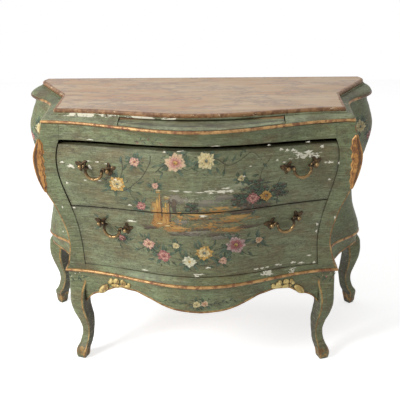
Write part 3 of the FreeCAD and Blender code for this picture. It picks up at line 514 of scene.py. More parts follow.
class EffectMaker:
    """Builds the shared effects as node groups."""

    grey: tuple = (0.2, 0.2, 0.2, 1)

    def __init__(self, name: str) -> None:
        """Start an empty group."""
        self.tree = bpy.data.node_groups.new(name, "ShaderNodeTree")
        self.bench = Bench(self.tree)

    def given(self, **inputs: float | tuple) -> "bpy.types.bpy_prop_collection":
        """Name the group's inputs, after the place, by their first values: a number or a colour."""
        face = self.tree.interface
        face.new_socket("Place", in_out="INPUT", socket_type="NodeSocketVector")
        for name, value in inputs.items():
            kind = "Color" if isinstance(value, tuple) else "Float"
            face.new_socket(name, in_out="INPUT", socket_type=f"NodeSocket{kind}").default_value = value
        return self.tree.nodes.new("NodeGroupInput").outputs

    def done(self, **outputs: Socket) -> bpy.types.NodeTree:
        """Name the group's outputs and link them."""
        for name in outputs:
            kind = "Color" if name == "Colour" else "Float"
            self.tree.interface.new_socket(name, in_out="OUTPUT", socket_type=f"NodeSocket{kind}")
        ends = self.tree.nodes.new("NodeGroupOutput").inputs
        for name, value in outputs.items():
            self.tree.links.new(value, ends[name])
        return self.tree

    def patina(self) -> bpy.types.NodeTree:
        """Old hand-laid paint: clouds of a cooler and a warmer tone, and level brush marks."""
        given = self.given(Base=self.grey, Cool=self.grey, Warm=self.grey, Scale=1.0)
        b = self.bench
        at = b.scaled(given["Place"], given["Scale"])
        cool = b.step(b.noise(at, 7, 5, 0.6, 0.6), 0.38, 0.62)
        warm = b.step(b.noise(b.stretched(at, 1, 1, 1.6), 11.3, 6, 0.65, 0.3), 0.42, 0.68)
        brush = b.noise(b.stretched(at, 14, 40, 150), 1.0, 6, 0.7)
        fine = b.noise(at, 260, 3, 0.6)
        tone = b.mix(warm, b.mix(cool, given["Base"], given["Cool"]), given["Warm"])
        streak = b.step(b.plus(b.times(brush, 0.62), b.times(fine, 0.38)), 0.34, 0.66)
        return self.done(Colour=b.scaled(tone, b.spread(streak, 0.6, 1.3)),
                         Height=b.plus(brush, b.times(fine, 0.35)))

    def flaking(self) -> bpy.types.NodeTree:
        """Flakes lost from paint: ragged, stretched along the grain, thicker where Density is high."""
        given = self.given(Density=0.0, Scale=1.0)
        b = self.bench
        at = b.scaled(given["Place"], given["Scale"])
        large = b.noise(b.stretched(at, 34, 40, 62), 1.0, 3, 0.5, 0.5)
        small = b.noise(b.stretched(at, 130, 140, 210), 1.0, 3, 0.6)
        grains = b.plus(b.times(large, 0.72), b.times(small, 0.28))
        level = b.minus(b.plus(grains, b.times(given["Density"], 0.42)), 0.78)
        rim = b.times(b.step(level, -0.022, 0.0), b.minus(1.0, b.step(level, 0.0, 0.02)))
        return self.done(Mask=b.step(level, 0.0, 0.012), Rim=rim)

    def crackle(self) -> bpy.types.NodeTree:
        """Fine age cracks that run mostly along the grain."""
        given = self.given(Scale=1.0)
        b = self.bench
        at = b.scaled(given["Place"], given["Scale"])
        cells = b.walls(b.stretched(at, 60, 70, 130), b.cloud(at, 90.0, 2, 0.5), 1.0)
        gate = b.step(b.noise(at, 16, 3), 0.42, 0.62)
        return self.done(Mask=b.times(b.minus(1.0, b.step(cells, 0.0, 0.05)), gate))

    def ragged(self) -> bpy.types.NodeTree:
        """A mask with a broken, hand-made edge."""
        given = self.given(Mask=0.0, Scale=60.0, Break=0.6)
        b = self.bench
        cloud = b.noise(given["Place"], given["Scale"], 5, 0.65)
        shifted = b.plus(given["Mask"], b.times(b.minus(cloud, 0.5), given["Break"]))
        return self.done(Mask=b.step(shifted, 0.42, 0.58))

    def wood_grain(self) -> bpy.types.NodeTree:
        """Bare timber with its grain along X."""
        given = self.given(Light=self.grey, Dark=self.grey, Scale=1.0)
        b = self.bench
        at = b.scaled(given["Place"], given["Scale"])
        rings = b.noise(b.stretched(at, 2.2, 26, 26), 1.0, 4, 0.6, 1.4)
        pores = b.noise(b.stretched(at, 22, 420, 420), 1.0, 2, 0.7)
        streak = b.plus(b.times(rings, 0.7), b.times(pores, 0.3))
        return self.done(Colour=b.mix(b.step(streak, 0.36, 0.64), given["Light"], given["Dark"]),
                         Height=streak)


class Finish:
    """A finish that makes its material once, under its own name."""

    name = "finish"
    slot_name = "bare_wood"

    def slot(self) -> str:
        """The record's material slot that it belongs to."""
        return self.slot_name

    def material(self) -> bpy.types.Material:
        """The material, built on first use."""
        found = bpy.data.materials.get(self.name)
        if found:
            return found
        made = bpy.data.materials.new(self.name)
        made.use_nodes = True
        made.node_tree.nodes.clear()
        bench = Bench(made.node_tree)
        look, height, depth = self.dress(bench, bench.add("TexCoord").outputs["Object"])
        relief = bench.add("Bump", {"Height": height, "Distance": depth, "Strength": 1.0}).outputs[0]
        shader = bench.add("BsdfPrincipled", {**look, "Normal": relief})
        bench.add("OutputMaterial", {"Surface": shader.outputs[0]})
        return made

    def dress(self, b: Bench, place: Socket) -> "Look":
        """Lay the finish. Each one does it in its own way.

        Args:
            b: The material's bench.
            place: Coordinates in the chest's frame.

        Returns:
            Values or sockets by shader input, the height of the relief, and the depth in metres of a
            height of 1.
        """
        raise NotImplementedError


@dataclass(frozen=True)
class OldPaint(Finish):
    """Oil paint on gesso: mottled, crackled, darkened by painted shade and grime, gilt and flaked where
    marked.
    """

    name: str = "green_frame_paint"
    slot_name: str = "green_paint"
    base: tuple = colour(110, 118, 80)
    cool: tuple = colour(127, 139, 100)
    warm: tuple = colour(110, 102, 67)
    dirt: tuple = colour(54, 48, 32)
    pale: tuple = colour(166, 170, 136)
    gesso: tuple = colour(214, 208, 184)
    chalk: tuple = colour(236, 232, 214)
    wood: tuple = colour(104, 74, 46)
    leaf: tuple = colour(178, 142, 86)
    rubbed_leaf: tuple = colour(112, 78, 46)
    flakes: float = 0.0
    gloss: float = 0.5

    def dress(self, b: Bench, place: Socket) -> "Look":
        """Lay paint, painted shade with grime, gilding, rubbed edges and flakes over each other."""
        paint = b.group(Effect.PATINA, Place=place, Base=self.base, Cool=self.cool, Warm=self.warm,
                        Scale=1.0)
        cracks = b.group(Effect.CRACKLE, Place=place)[0]
        tone = b.mix(b.times(cracks, 0.55), paint["Colour"], self.dirt)
        cloudy = b.spread(b.noise(place, 20, 6, 0.65), 0.45, 1.35, 0.3, 0.7)
        # Painted shade, mixed with grime: the shade mark darkens gaps, undersides, hollows and faces turned
        # from the light, broken up by a cloud.
        dirt = b.times(b.mark("shade"), cloudy, clamp=True)
        haze = b.step(b.noise(place, 13, 6, 0.7, 0.4), 0.46, 0.74)
        tone = b.mix(b.most(b.times(dirt, 0.88), b.times(haze, 0.5)), tone, self.dirt)
        scratch = b.step(b.noise(b.stretched(place, 20, 50, 240), 1.0, 5, 0.75), 0.52, 0.68)
        tone = b.mix(b.times(scratch, 0.62), tone, self.pale)
        grime = b.step(b.noise(b.stretched(place, 80, 120, 170), 1.0, 6, 0.85), 0.5, 0.62)
        tone = b.mix(b.times(grime, 0.62), tone, self.dirt)
        tone = b.mix(b.ragged(place, "wear", 85.0, 1.1), tone, self.wood)
        gilt = b.ragged(place, "gilt", 55.0, 0.55)
        leaf = b.mix(b.step(b.noise(place, 45, 5, 0.65), 0.36, 0.6), self.leaf, self.rubbed_leaf)
        tone = b.mix(gilt, tone, leaf)
        lost = b.group(Effect.FLAKING, Place=place, Density=b.plus(b.mark("flake"), self.flakes))
        tone = b.mix(b.times(lost["Rim"], 0.5), tone, self.dirt)
        tone = b.mix(lost["Mask"], tone, b.mix(b.noise(place, 150, 3), self.gesso, self.chalk))
        rough = b.spread(paint["Height"], self.gloss - 0.08, self.gloss + 0.12)
        holes = b.plus(b.times(lost["Mask"], 0.9), b.times(cracks, 0.25))
        look = {"Base Color": tone, "Roughness": b.plus(rough, b.times(lost["Mask"], 0.3), clamp=True),
                "Metallic": b.times(gilt, 0.35)}
        return look, b.minus(b.times(paint["Height"], 0.28), holes), 0.0007


@dataclass(frozen=True)
class Gilding(Finish):
    """Gold leaf over red bole, rubbed through on the high places and lost in others."""

    name: str = "rubbed_gilding"
    slot_name: str = "gilding"
    leaf: tuple = colour(194, 152, 96)
    deep: tuple = colour(140, 100, 60)
    bole: tuple = colour(116, 68, 46)
    dirt: tuple = colour(70, 48, 30)
    gesso: tuple = colour(222, 212, 186)

    def dress(self, b: Bench, place: Socket) -> "Look":
        """Lay leaf, bole, and grime with painted shade over each other."""
        tone = b.mix(b.step(b.noise(place, 30, 5, 0.65, 0.4), 0.4, 0.62), self.leaf, self.deep)
        bole = b.step(b.noise(place, 52, 5, 0.7), 0.52, 0.6)
        tone = b.mix(b.times(bole, 0.85), tone, self.bole)
        speck = b.step(b.noise(place, 170, 3, 0.7), 0.58, 0.7)
        # Painted shade in grooves and undersides from the shade mark, with specks of grime.
        dirt = b.most(b.times(b.ragged(place, "shade", 60.0, 0.45), 0.85), b.times(speck, 0.3))
        lost = b.group(Effect.FLAKING, Place=place, Density=b.mark("flake"), Scale=1.8)
        look = {"Base Color": b.mix(lost["Mask"], b.mix(dirt, tone, self.dirt), self.gesso),
                "Metallic": b.minus(0.36, b.times(bole, 0.3)),
                "Roughness": b.plus(0.38, b.times(bole, 0.25))}
        return look, b.noise(place, 240, 4, 0.65), 0.0005


@dataclass(frozen=True)
class MarbledTop(Finish):
    """Feigned marble in oil: warm clouds with soft lilac veins, browned towards the edge."""

    name: str = "feigned_marble"
    slot_name: str = "marbled_paint"
    ground: tuple = colour(186, 156, 122)
    cloud: tuple = colour(200, 176, 146)
    pink: tuple = colour(188, 140, 108)
    lilac: tuple = colour(136, 120, 116)
    streak: tuple = colour(156, 130, 108)
    brown: tuple = colour(112, 76, 48)
    tan: tuple = colour(158, 118, 80)
    bare: tuple = colour(206, 182, 146)

    def dress(self, b: Bench, place: Socket) -> "Look":
        """Lay clouds, veins, a brown edge and its chips over each other."""
        drift = b.stretched(place, 1.0, 3.2, 1.0, (0, 0, 0.12))
        tone = b.mix(b.step(b.noise(drift, 3.2, 6, 0.62, 0.9), 0.36, 0.66), self.ground, self.cloud)
        pink = b.step(b.noise(drift, 5.1, 5, 0.6, 1.4), 0.46, 0.66)
        tone = b.mix(b.times(pink, 0.6), tone, self.pink)
        veins = b.minus(1.0, b.step(b.walls(drift, b.cloud(drift, 2.4, 6, 0.7), 3.1), 0.0, 0.09))
        tone = b.mix(b.times(veins, 0.62), tone, self.lilac)
        streak = b.step(b.noise(b.stretched(place, 3, 60, 3), 1.0, 5, 0.65, 0.5), 0.45, 0.75)
        tone = b.mix(b.times(streak, 0.55), tone, self.streak)
        edge = b.mix(b.step(b.noise(place, 60, 4, 0.6), 0.4, 0.6), self.brown, self.tan)
        tone = b.mix(b.ragged(place, "shade", 48.0, 0.85), tone, edge)
        lost = b.group(Effect.FLAKING, Place=place, Density=b.mark("flake"), Scale=1.5)["Mask"]
        height = b.minus(b.noise(b.stretched(place, 40, 160, 40), 1.0, 4), b.times(lost, 1.2))
        look = {"Base Color": b.mix(lost, tone, self.bare),
                "Roughness": b.spread(b.noise(place, 26, 4), 0.36, 0.56)}
        return look, height, 0.0004


@dataclass(frozen=True)
class Timber(Finish):
    """Bare or plainly stained wood of the inside and the back."""

    name: str = "bare_timber"
    slot_name: str = "bare_wood"
    light: tuple = colour(176, 140, 98)
    dark: tuple = colour(118, 84, 54)
    stain: tuple = colour(84, 62, 42)
    turn: tuple = (0, 0, 0)

    def dress(self, b: Bench, place: Socket) -> "Look":
        """Lay grain, age and a little dirt."""
        at = b.stretched(place, 1, 1, 1, self.turn) if any(self.turn) else place
        grain = b.group(Effect.GRAIN, Place=at, Light=self.light, Dark=self.dark, Scale=2.2)
        stain = b.times(b.step(b.noise(place, 5, 5, 0.6), 0.45, 0.75), 0.45)
        look = {"Base Color": b.mix(stain, grain["Colour"], self.stain),
                "Roughness": b.spread(grain["Height"], 0.6, 0.85)}
        return look, grain["Height"], 0.0005


@dataclass(frozen=True)
class CastMetal(Finish):
    """Old cast brass or forged iron, dark in the hollows and bright where hands rub it."""

    name: str = "handle_brass_old"
    slot_name: str = "handle_brass"
    bright: tuple = colour(160, 130, 86)
    dull: tuple = colour(28, 20, 14)
    metallic: float = 0.75
    rub: float = 0.6

    def dress(self, b: Bench, place: Socket) -> "Look":
        """Lay tarnish over the metal."""
        tarnish = b.step(b.plus(b.noise(place, 95, 4, 0.65), self.rub - 0.5), 0.38, 0.66)
        worn = b.times(tarnish, b.minus(1.0, b.times(b.mark("wear"), 0.55)))
        look = {"Base Color": b.mix(worn, self.bright, self.dull), "Roughness": b.spread(worn, 0.2, 0.48),
                "Metallic": self.metallic}
        return look, b.noise(place, 420, 3, 0.6), 0.0003


@dataclass(frozen=True)
class Pigment(Finish):
    """Thin oil paint of the decoration, streaked along the stroke and rubbed to the ground in places."""

    name: str = "pigment"
    slot_name: str = "green_paint"
    body: tuple = colour(200, 150, 140)
    tip: tuple = colour(225, 200, 180)
    rim: tuple = colour(130, 80, 70)
    cover: float = 0.84
    grain: float = 150
    soft: float = 0.32
    rubbed: float = 0.44

    def dress(self, b: Bench, place: Socket) -> "Look":
        """Lay one stroke: darker at its root and rim, lighter at its tip, broken by the rubbed ground."""
        along, across = b.mark("along"), b.mark("across")
        hairs = b.noise(b.stretched(place, 260, 260, 330), 1.0, 4, 0.7)
        stray = b.times(b.minus(hairs, 0.5), 1.1)
        tone = b.mix(b.step(b.plus(along, stray), 0.1, 0.95), self.body, self.tip)
        tone = b.mix(b.times(b.step(b.plus(across, stray), 0.5, 1.0), 0.6), tone, self.rim)
        cloud = b.noise(b.stretched(place, self.grain * 0.6, self.grain, self.grain * 1.3), 1.0, 5, 0.7)
        held = b.step(b.plus(cloud, b.times(b.minus(1.0, across), 0.6)), 0.54, 0.54 + self.soft)
        kept = b.step(b.noise(place, 85, 5, 0.75), self.rubbed - 0.1, self.rubbed + 0.04)
        look = {"Base Color": tone, "Alpha": b.times(b.times(held, kept), self.cover), "Roughness": 0.5}
        return look, hairs, 0.0002


FRAME_PAINT = OldPaint()
DRAWER_PAINT = OldPaint(name="green_drawer_paint", base=colour(112, 116, 81), cool=colour(129, 138, 103),
                        warm=colour(113, 104, 71), flakes=0.1)
# A lighter copy of the frame paint: painted light on the up-turned front moulding and the face of the slide.
LIT_MOULDING_PAINT = OldPaint(name="pale_lit_moulding_paint", base=colour(132, 138, 104), cool=colour(156, 164, 130),
                          warm=colour(118, 114, 82))
GILT = Gilding()
MOUNT_GILT = Gilding(name="brown_gilding", leaf=colour(186, 136, 72), deep=colour(150, 102, 52),
                     bole=colour(112, 70, 40))
LEAF_GILT = Gilding(name="olive_gilding", leaf=colour(214, 192, 126), deep=colour(170, 144, 84),
                    bole=colour(130, 100, 60))
MARBLE = MarbledTop()
WOOD = Timber()
SIDE_WOOD = Timber(name="side_timber", turn=(0, 0, math.pi / 2))
BACK_WOOD = Timber(name="back_timber", light=colour(150, 118, 82), dark=colour(96, 70, 46))
BRASS = CastMetal()
PLATE_BRASS = CastMetal(name="plate_brass", bright=colour(126, 100, 66), dull=colour(27, 19, 14), rub=0.66)
IRON = CastMetal(name="forged_iron", slot_name="nail_iron", bright=colour(110, 100, 92),
                 dull=colour(54, 44, 38))


def pigment(name: str, body: tuple, tip: tuple, rim: tuple, **more: float) -> Pigment:
    """A pigment from the colours of its body, tip and rim, as they are seen."""
    return Pigment(name, body=colour(*body), tip=colour(*tip), rim=colour(*rim), **more)


class Paint(Enum):
    """The pigments of the painted decoration."""

    DARK_LEAF = pigment("dark_leaf_paint", (52, 66, 50), (78, 96, 70), (34, 40, 30), rubbed=0.42)
    BLUE_LEAF = pigment("blue_leaf_paint", (56, 72, 60), (94, 112, 90), (40, 50, 40), rubbed=0.4)
    STEM = pigment("stem_paint", (50, 46, 32), (64, 62, 42), (44, 38, 26), cover=0.85, rubbed=0.4)
    PINK = pigment("pink_paint", (158, 92, 84), (212, 166, 148), (120, 70, 62))
    ROSE = pigment("rose_paint", (112, 56, 62), (176, 112, 106), (84, 44, 46))
    BLUSH = pigment("blush_paint", (186, 132, 104), (224, 196, 160), (150, 98, 76))
    CREAM = pigment("cream_paint", (190, 168, 112), (226, 212, 164), (140, 116, 74))
    WHITE = pigment("white_paint", (206, 198, 160), (230, 226, 200), (150, 140, 104))
    OCHRE = pigment("ochre_paint", (160, 108, 48), (210, 168, 90), (116, 74, 38))
    VIOLET = pigment("violet_paint", (140, 96, 104), (204, 172, 164), (104, 66, 72))
    BLUE_EYE = pigment("blue_grey_paint", (96, 108, 104), (136, 142, 128), (62, 66, 58), rubbed=0.3)
    GOLD_EYE = pigment("gold_eye_paint", (200, 150, 62), (222, 186, 104), (120, 76, 36), rubbed=0.3)
    EARTH = pigment("earth_wash", (162, 116, 58), (188, 146, 82), (140, 104, 58), cover=0.9,
                    grain=60, soft=0.24, rubbed=0.36)
    MIST = pigment("mist_wash", (118, 112, 100), (146, 138, 122), (108, 102, 86), cover=0.8,
                   grain=50, soft=0.26, rubbed=0.34)
    UMBER = pigment("umber_wash", (72, 58, 46), (98, 80, 62), (70, 60, 44), cover=0.85,
                    grain=70, soft=0.24, rubbed=0.36)
    PALE = pigment("pale_wash", (176, 178, 146), (194, 194, 164), (160, 160, 128), cover=0.5,
                   grain=60, soft=0.6, rubbed=0.34)
    GROUND = pigment("bare_gesso", (222, 218, 196), (238, 234, 218), (176, 166, 136), cover=1.0,
                     grain=120, soft=0.03, rubbed=0.24)


GREENS = (Paint.DARK_LEAF, Paint.BLUE_LEAF)


# -------------------------------------------------------------------------------- sub-assemblies

@dataclass
class Carcass:
    """The swelling case: posts, rails and side panels, all on one skin."""

    levels: int = 96
    post_back: float = -88
    rear_post_front: float = 245
    opening: tuple[float, ...] = (386, 388, 375, 432, 469, 432)
    low: float = 353
    high: float = 791
    base: float = BASE_LEVEL
    crown: float = CROWN_LEVEL

    def half_opening(self, z: Array) -> Array:
        """Half the width of the drawer opening at heights z."""
        t = np.linspace(0, 1, 400)
        poles = [(half, self.low + (self.high - self.low) * k / 5) for k, half in enumerate(self.opening)]
        line = bezier(poles, t)
        return np.interp(z, line[:, 1], line[:, 0])

    def post(self, way: int) -> None:
        """One front post: the drawer side, the front face, the arris and the outer face."""
        rings, gilt, wear, shade = [], [], [], []
        face, flank = 18, 33
        for z in np.linspace(self.base, self.crown, self.levels):
            plan = case_plan(z)
            inner = float(self.half_opening(z))
            x = np.linspace(inner, plan.corner[0], face)
            front = plan.front(x, z)
            y = plan.corner[1] + (self.post_back - plan.corner[1]) * np.linspace(0, 1, 16)[1:]
            side = plan.side(1, z, y)
            back = np.linspace(side[-1], (inner, self.post_back, z), 8)[1:]
            close = np.linspace((inner, self.post_back, z), front[0], 8)[1:-1]
            ring = np.concatenate([front, side, back, close])
            distance, edge = np.full((2, len(ring)), 60.0)
            distance[:face] = plan.corner[0] - x
            distance[face:flank] = y - plan.corner[1]
            edge[:face] = x - inner
            below, above = 1 - ease(612, 626, z), ease(798, 806, z) * (1 - ease(828, 836, z))
            gilt.append((1 - ease(2, 6.5, distance)) * (0.78 * below + 0.62 * above))
            wear.append(0.42 * (1 - ease(0, 5, edge)) + 0.25 * (1 - ease(0, 9, distance)))
            # Painted shade: darker beside the drawer opening, and nearly dark on the back and on the face
            # inside the opening. A softer darker band runs about 12 mm from the arris on both faces.
            dark = 0.34 * (1 - ease(0, 26, edge)) + 0.3 * (1 - ease(3, 30, abs(distance - 12)))
            dark[flank:] = np.maximum(dark[flank:], 0.9)
            shade.append(dark)
            rings.append(ring * (way, 1, 1))
        form = Form()
        rings = np.array(rings)
        form.stack(rings, gilt=np.array(gilt), wear=np.array(wear), shade=np.array(shade),
                   flake=np.clip(0.12 * ripple(rings, 140, 3 * way), 0, 1))
        form.piece(f"{hand(way)}_post_skin", "carcass", FRAME_PAINT, f"{hand(way)}_front_post", bevel=0.9)

    def rail(self, name: str, reach: float, low: float, high: float, core: tuple[float, float, float],
             spots: tuple[tuple[float, float, float], ...] = ()) -> None:
        """A rail across the front, on the skin in front and on a flat core behind.

        Args:
            name: The CAD node that it stands for.
            reach: Half its length.
            low: Its lower edge.
            high: Its upper edge.
            core: Corner x, corner y and centre y of the core.
            spots: Where it flakes: middle, width and strength of each place.
        """
        x = np.linspace(-reach, reach, 160)
        z = np.linspace(low, high, 14)[:, None]
        front = on_front(x[None, :], z)
        back = front.copy()
        back[..., 1] = core[1] + (core[2] - core[1]) * bow((1 - x / core[0]) / 2)
        edge = np.minimum(z - low, high - z)
        form = Form()
        # Painted shade: darker along its upper and lower edges, beside the drawer gap and the moulding or
        # bead.
        form.slab(front, back, wear=0.45 * (1 - ease(0, 3, edge)), shade=0.35 * (1 - ease(0, 9, edge)),
                  flake=sum(strong * bell(x, at, wide) for at, wide, strong in spots))
        form.piece(f"{name}_skin", "carcass", FRAME_PAINT, name, bevel=0.8)

    def panel(self, way: int, name: str, near: float, far: float, thick: float) -> None:
        """A side panel or rear post between two depths."""
        z = np.linspace(self.base, self.crown, self.levels)
        y = np.linspace(near, far, max(4, int((far - near) / 5)))
        outer = np.array([case_plan(level).side(way, level, y) for level in z])
        inner = np.array([case_plan(level).grown(-thick).side(way, level, y) for level in z])
        rise = (z - self.base)[:, None]
        # Darker towards the bottom, and painted shade in the hollow where the rear swell begins, at a depth
        # of about 20 mm.
        shade = 0.16 + 0.14 * (1 - ease(0, 60, rise)) + 0.16 * (1 - ease(20, 120, np.abs(y - 20)))
        form = Form()
        form.slab(outer, inner, shade=shade, wear=0.22 * (1 - ease(0, 7, rise)))
        form.piece(f"{hand(way)}_{name}_skin", "carcass", FRAME_PAINT, f"{hand(way)}_{name}", bevel=0.8)

    def build(self) -> None:
        """Build every piece of the case's skin."""
        for way in (-1, 1):
            self.post(way)
            self.panel(way, "side_panel", self.post_back, self.rear_post_front, 20)
            self.panel(way, "rear_post", self.rear_post_front, BACK, 42)
        self.rail("top_rail", 432, self.high, self.crown, (520, -131, -216))
        self.rail("bottom_rail", 386, self.base, self.low - 1.6, (460, -108, -214),
                  ((190, 60, 0.34), (230, 30, 0.36), (330, 46, 0.34), (296, 20, 0.4), (-20, 60, 0.2)))


@dataclass
class TopWork:
    """The marbled top, the moulding under it and the brushing slide's face."""

    slide: tuple[float, float] = (-243, 262)
    slide_levels: tuple[float, float] = (852.2, 858.6)
    slot_gaps: tuple[float, float] = (2.6, 3.6)
    seat_low: float = CROWN_LEVEL
    slope_low: float = 851
    slot_top: float = 862.8
    fillet_low: float = 863.4
    slab_low: float = 868
    front_steps: int = 170
    end_steps: int = 60
    slot_steps: int = 110

    def slab(self) -> None:
        """The top, with its edge worn and chipped out of true."""
        profile = ((-3, self.slab_low), (-0.6, 868.4), (0, 870), (0.2, 874.5), (-0.2, 877.6), (-1.4, 879.3),
                   (-3.2, 880), (-6, 880), (-12, 880), (-24, 880))
        rings, shade, flake = [], [], []
        for offset, z in profile:
            plan = TOP.grown(offset)
            line = plan.side_line((14, 60, 18))
            right = np.column_stack([line, np.full(len(line), z)])
            front = plan.front(np.linspace(-plan.corner[0], plan.corner[0], self.front_steps)[1:-1], z)
            ring = np.concatenate([right[::-1] * (-1, 1, 1), front, right])
            ring[:, 1] = np.minimum(ring[:, 1], BACK - (0 if offset > -4 else -offset - 3))
            if offset > -5:
                worn = np.clip(ripple(ring, 23, 1.0) + 0.6 * ripple(ring, 9, 4.0) - 0.35, 0, 1)
                inward = (np.array([0, 60, 0.0]) - ring) * (1, 1, 0)
                inward /= np.linalg.norm(inward, axis=1)[:, None]
                loss = worn * (1.9 if z > 876 else 1.1) * (ring[:, 1] < BACK - 2)
                ring += inward * loss[:, None]
                ring[:, 2] -= 0.5 * worn * (z > 877)
            rings.append(ring)
            near = ease(-26, -1, offset)
            dark = 0.95 * near ** 3 + 0.16 * near + 0.25 * ripple(ring, 190, 2.0) * near
            shade.append(np.clip(dark, 0, 1))
            flake.append(np.full(len(ring), 0.42 * ease(-9, -1, offset)))
        form = Form()
        form.stack(np.array(rings), shade=np.array(shade), flake=np.array(flake))
        form.piece("painted_top", "carcass", MARBLE, "top_slab", sharp=50)

    @staticmethod
    def slope(heights: Array) -> list[tuple[Plan, float]]:
        """The sloping convex face at the heights, between the bead and the fillet."""
        start, end = TOP.grown(4), BEAD.grown(-3)
        shares = flow([851, 855, 859.5, 863.4], [1.0, 0.9, 0.6, 0.06], heights)
        return [(start.toward(end, float(share)), float(z)) for share, z in zip(shares, heights)]

    @staticmethod
    def run(form: Form, profile: list[tuple[Plan, float]], low: float | None, high: float | None, steps: int,
            **marks: Array | float) -> None:
        """Add a closed profile swept along the front.

        Args:
            form: The form that it joins.
            profile: Plan and height of each of its points.
            low: Where it starts, None for the left corner.
            high: Where it ends, None for the right corner.
            steps: Points along it.
            marks: Its marks, by point of the profile and place along it.
        """
        rows = []
        for plan, z in profile:
            start = -plan.corner[0] if low is None else low - lean(z)
            end = plan.corner[0] if high is None else high - lean(z)
            rows.append(plan.front(np.linspace(start, end, steps), z))
        shape = (len(profile), steps)
        form.stack(np.transpose(np.array(rows), (1, 0, 2)),
                   **{name: np.broadcast_to(value, shape).T for name, value in marks.items()})

    def moulding(self) -> None:
        """The fillet and the sloping moulding, with the slot of the brushing slide."""
        slope = self.slope(np.linspace(self.slope_low, self.fillet_low, 9))
        seat, inner = BEAD.grown(-8), TOP.grown(-34)
        fillet = [(TOP.grown(4), self.fillet_low), (TOP.grown(4.4), 864.4), (TOP.grown(4.2), 867),
                  (TOP.grown(3), self.slab_low)]
        whole = slope + fillet + [(inner, self.slab_low), (inner, self.seat_low), (seat, self.seat_low),
                                  (seat, self.slope_low)]
        slot = (self.slide[0] - self.slot_gaps[0], self.slide[1] + self.slot_gaps[1])
        worn = np.zeros((len(whole), 1))
        worn[len(slope) - 1:len(slope) + 3] = 0.4
        worn[:2] = 0.3
        form = Form()
        for low, high in ((None, slot[0]), (slot[1], None)):
            flake = np.zeros((len(whole), self.end_steps))
            if low is None:
                along = np.linspace(0, 1, self.end_steps)
                flake[len(slope) - 2:len(slope) + 4] = 0.72 * ease(0.12, 0.3, along)
            self.run(form, whole, low, high, self.end_steps, wear=worn, flake=flake, shade=0.2)
        lintel = [(TOP.grown(4), self.slot_top), *fillet, (inner, self.slab_low), (inner, self.slot_top)]
        x = np.linspace(*slot, self.slot_steps)
        chips = 0.55 * bell(x, -190, 40) + 0.6 * bell(x, -90, 60) + 0.3
        # Painted shadow: the lintel's lowest rows, over the slot of the brushing slide, are fully dark.
        shade = np.array([1, 1, 0.5] + [0.25] * (len(lintel) - 3))[:, None]
        self.run(form, lintel, *slot, self.slot_steps, wear=0.12, flake=0.8 * chips, shade=shade)
        sill = [(seat, self.seat_low), (seat, self.slope_low), (inner, self.slope_low),
                (inner, self.seat_low)]
        self.run(form, sill, *slot, self.slot_steps)
        form.piece("front_moulding_skin", "carcass", LIT_MOULDING_PAINT, "front_moulding", bevel=0.5)
        for way in (-1, 1):
            rings = np.transpose(np.array([plan.side(way, z) for plan, z in whole]), (1, 0, 2))
            depth = rings[..., 1]
            form = Form()
            # Painted shade in the hollow of each side run, about 60 mm deep, over an even darkening.
            form.stack(rings, shade=0.3 + 0.4 * bell(depth, 60, 60), wear=worn[:, 0],
                       flake=0.5 * bell(depth, -20, 50) * (way > 0))
            form.piece(f"{hand(way)}_moulding_skin", "carcass", FRAME_PAINT, f"{hand(way)}_moulding",
                       bevel=0.5)

    def slide_nose(self) -> None:
        """The shaped front edge of the brushing slide."""
        low, high = self.slide_levels
        heights = np.linspace(low, high, 8)
        x = np.linspace(*self.slide, 120)
        front = np.array([plan.front(x - lean(z), z) for plan, z in self.slope(heights)])
        back = front.copy()
        back[..., 1] = -178
        edge = np.minimum(heights - low, high - heights)[:, None]
        ends = np.minimum(x - x[0], x[-1] - x)
        pale = bell(x, -60, 55) * ease(0.2, 0.7, np.linspace(0, 1, 8))[:, None]
        form = Form()
        # Painted shadow: dark round its rim, where it meets the slot, and darker towards its ends.
        form.slab(front, back, wear=0.25 * (1 - ease(0, 4, ends)) * ease(0.8, 2, edge), flake=0.125 * pale,
                  shade=np.maximum(0.3 * (1 - ease(0, 14, ends)) + 0.12, 1 - ease(0, 2.0, edge)))
        form.piece("slide_nose_skin", "brushing_slide", LIT_MOULDING_PAINT, "brushing_slide_nose", bevel=0.7)

    def build(self) -> None:
        """Build the top and all that hangs under it."""
        self.slab()
        self.moulding()
        self.slide_nose()


@dataclass
class GiltBeads:
    """The two gilt beads that bound the case, mitred at the front corners."""

    radius: float = 5.0
    steps: int = 220

    def bead(self, name: str, plan: Plan, level: float) -> None:
        """One bead in its three runs."""
        turns = np.radians(np.linspace(-90, 90, 9))
        profile = [(plan.grown(self.radius * (math.cos(t) - 1)), level + self.radius * math.sin(t))
                   for t in turns]
        back = plan.grown(-1.6 * self.radius)
        profile += [(back, level + self.radius), (back, level - self.radius)]
        for run, way in (("front", 0), ("left", -1), ("right", 1)):
            lines = [p.side(way, z) if way
                     else p.front(np.linspace(-p.corner[0], p.corner[0], self.steps), z) for p, z in profile]
            rings = np.transpose(np.array(lines), (1, 0, 2))
            rough = ripple(rings, 17, 2.0)[..., None] * np.array([0, 0.35, 0.3])
            rings[1:-1] += rough[1:-1] * np.array([1, 0.4 if way else 1, 1])
            shade = np.full(rings.shape[:2], 0.22)
            # Painted shade on the underside of the bead. The side runs of the upper bead grow darker towards
            # the rear.
            shade[:, :2] = 0.7
            if way:
                dark = 0.75 * ease(60, 150, rings[..., 1]) if name == "upper_bead" else 0.3
                shade = np.maximum(shade, dark)
            form = Form()
            form.stack(rings, shade=shade, flake=0.12)
            form.piece(f"{name}_{run}_gilt", "carcass", GILT, f"{name}_{run}", sharp=60)

    def build(self) -> None:
        """Build both beads."""
        self.bead("upper_bead", BEAD, 846)
        self.bead("lower_bead", BASE, 326)


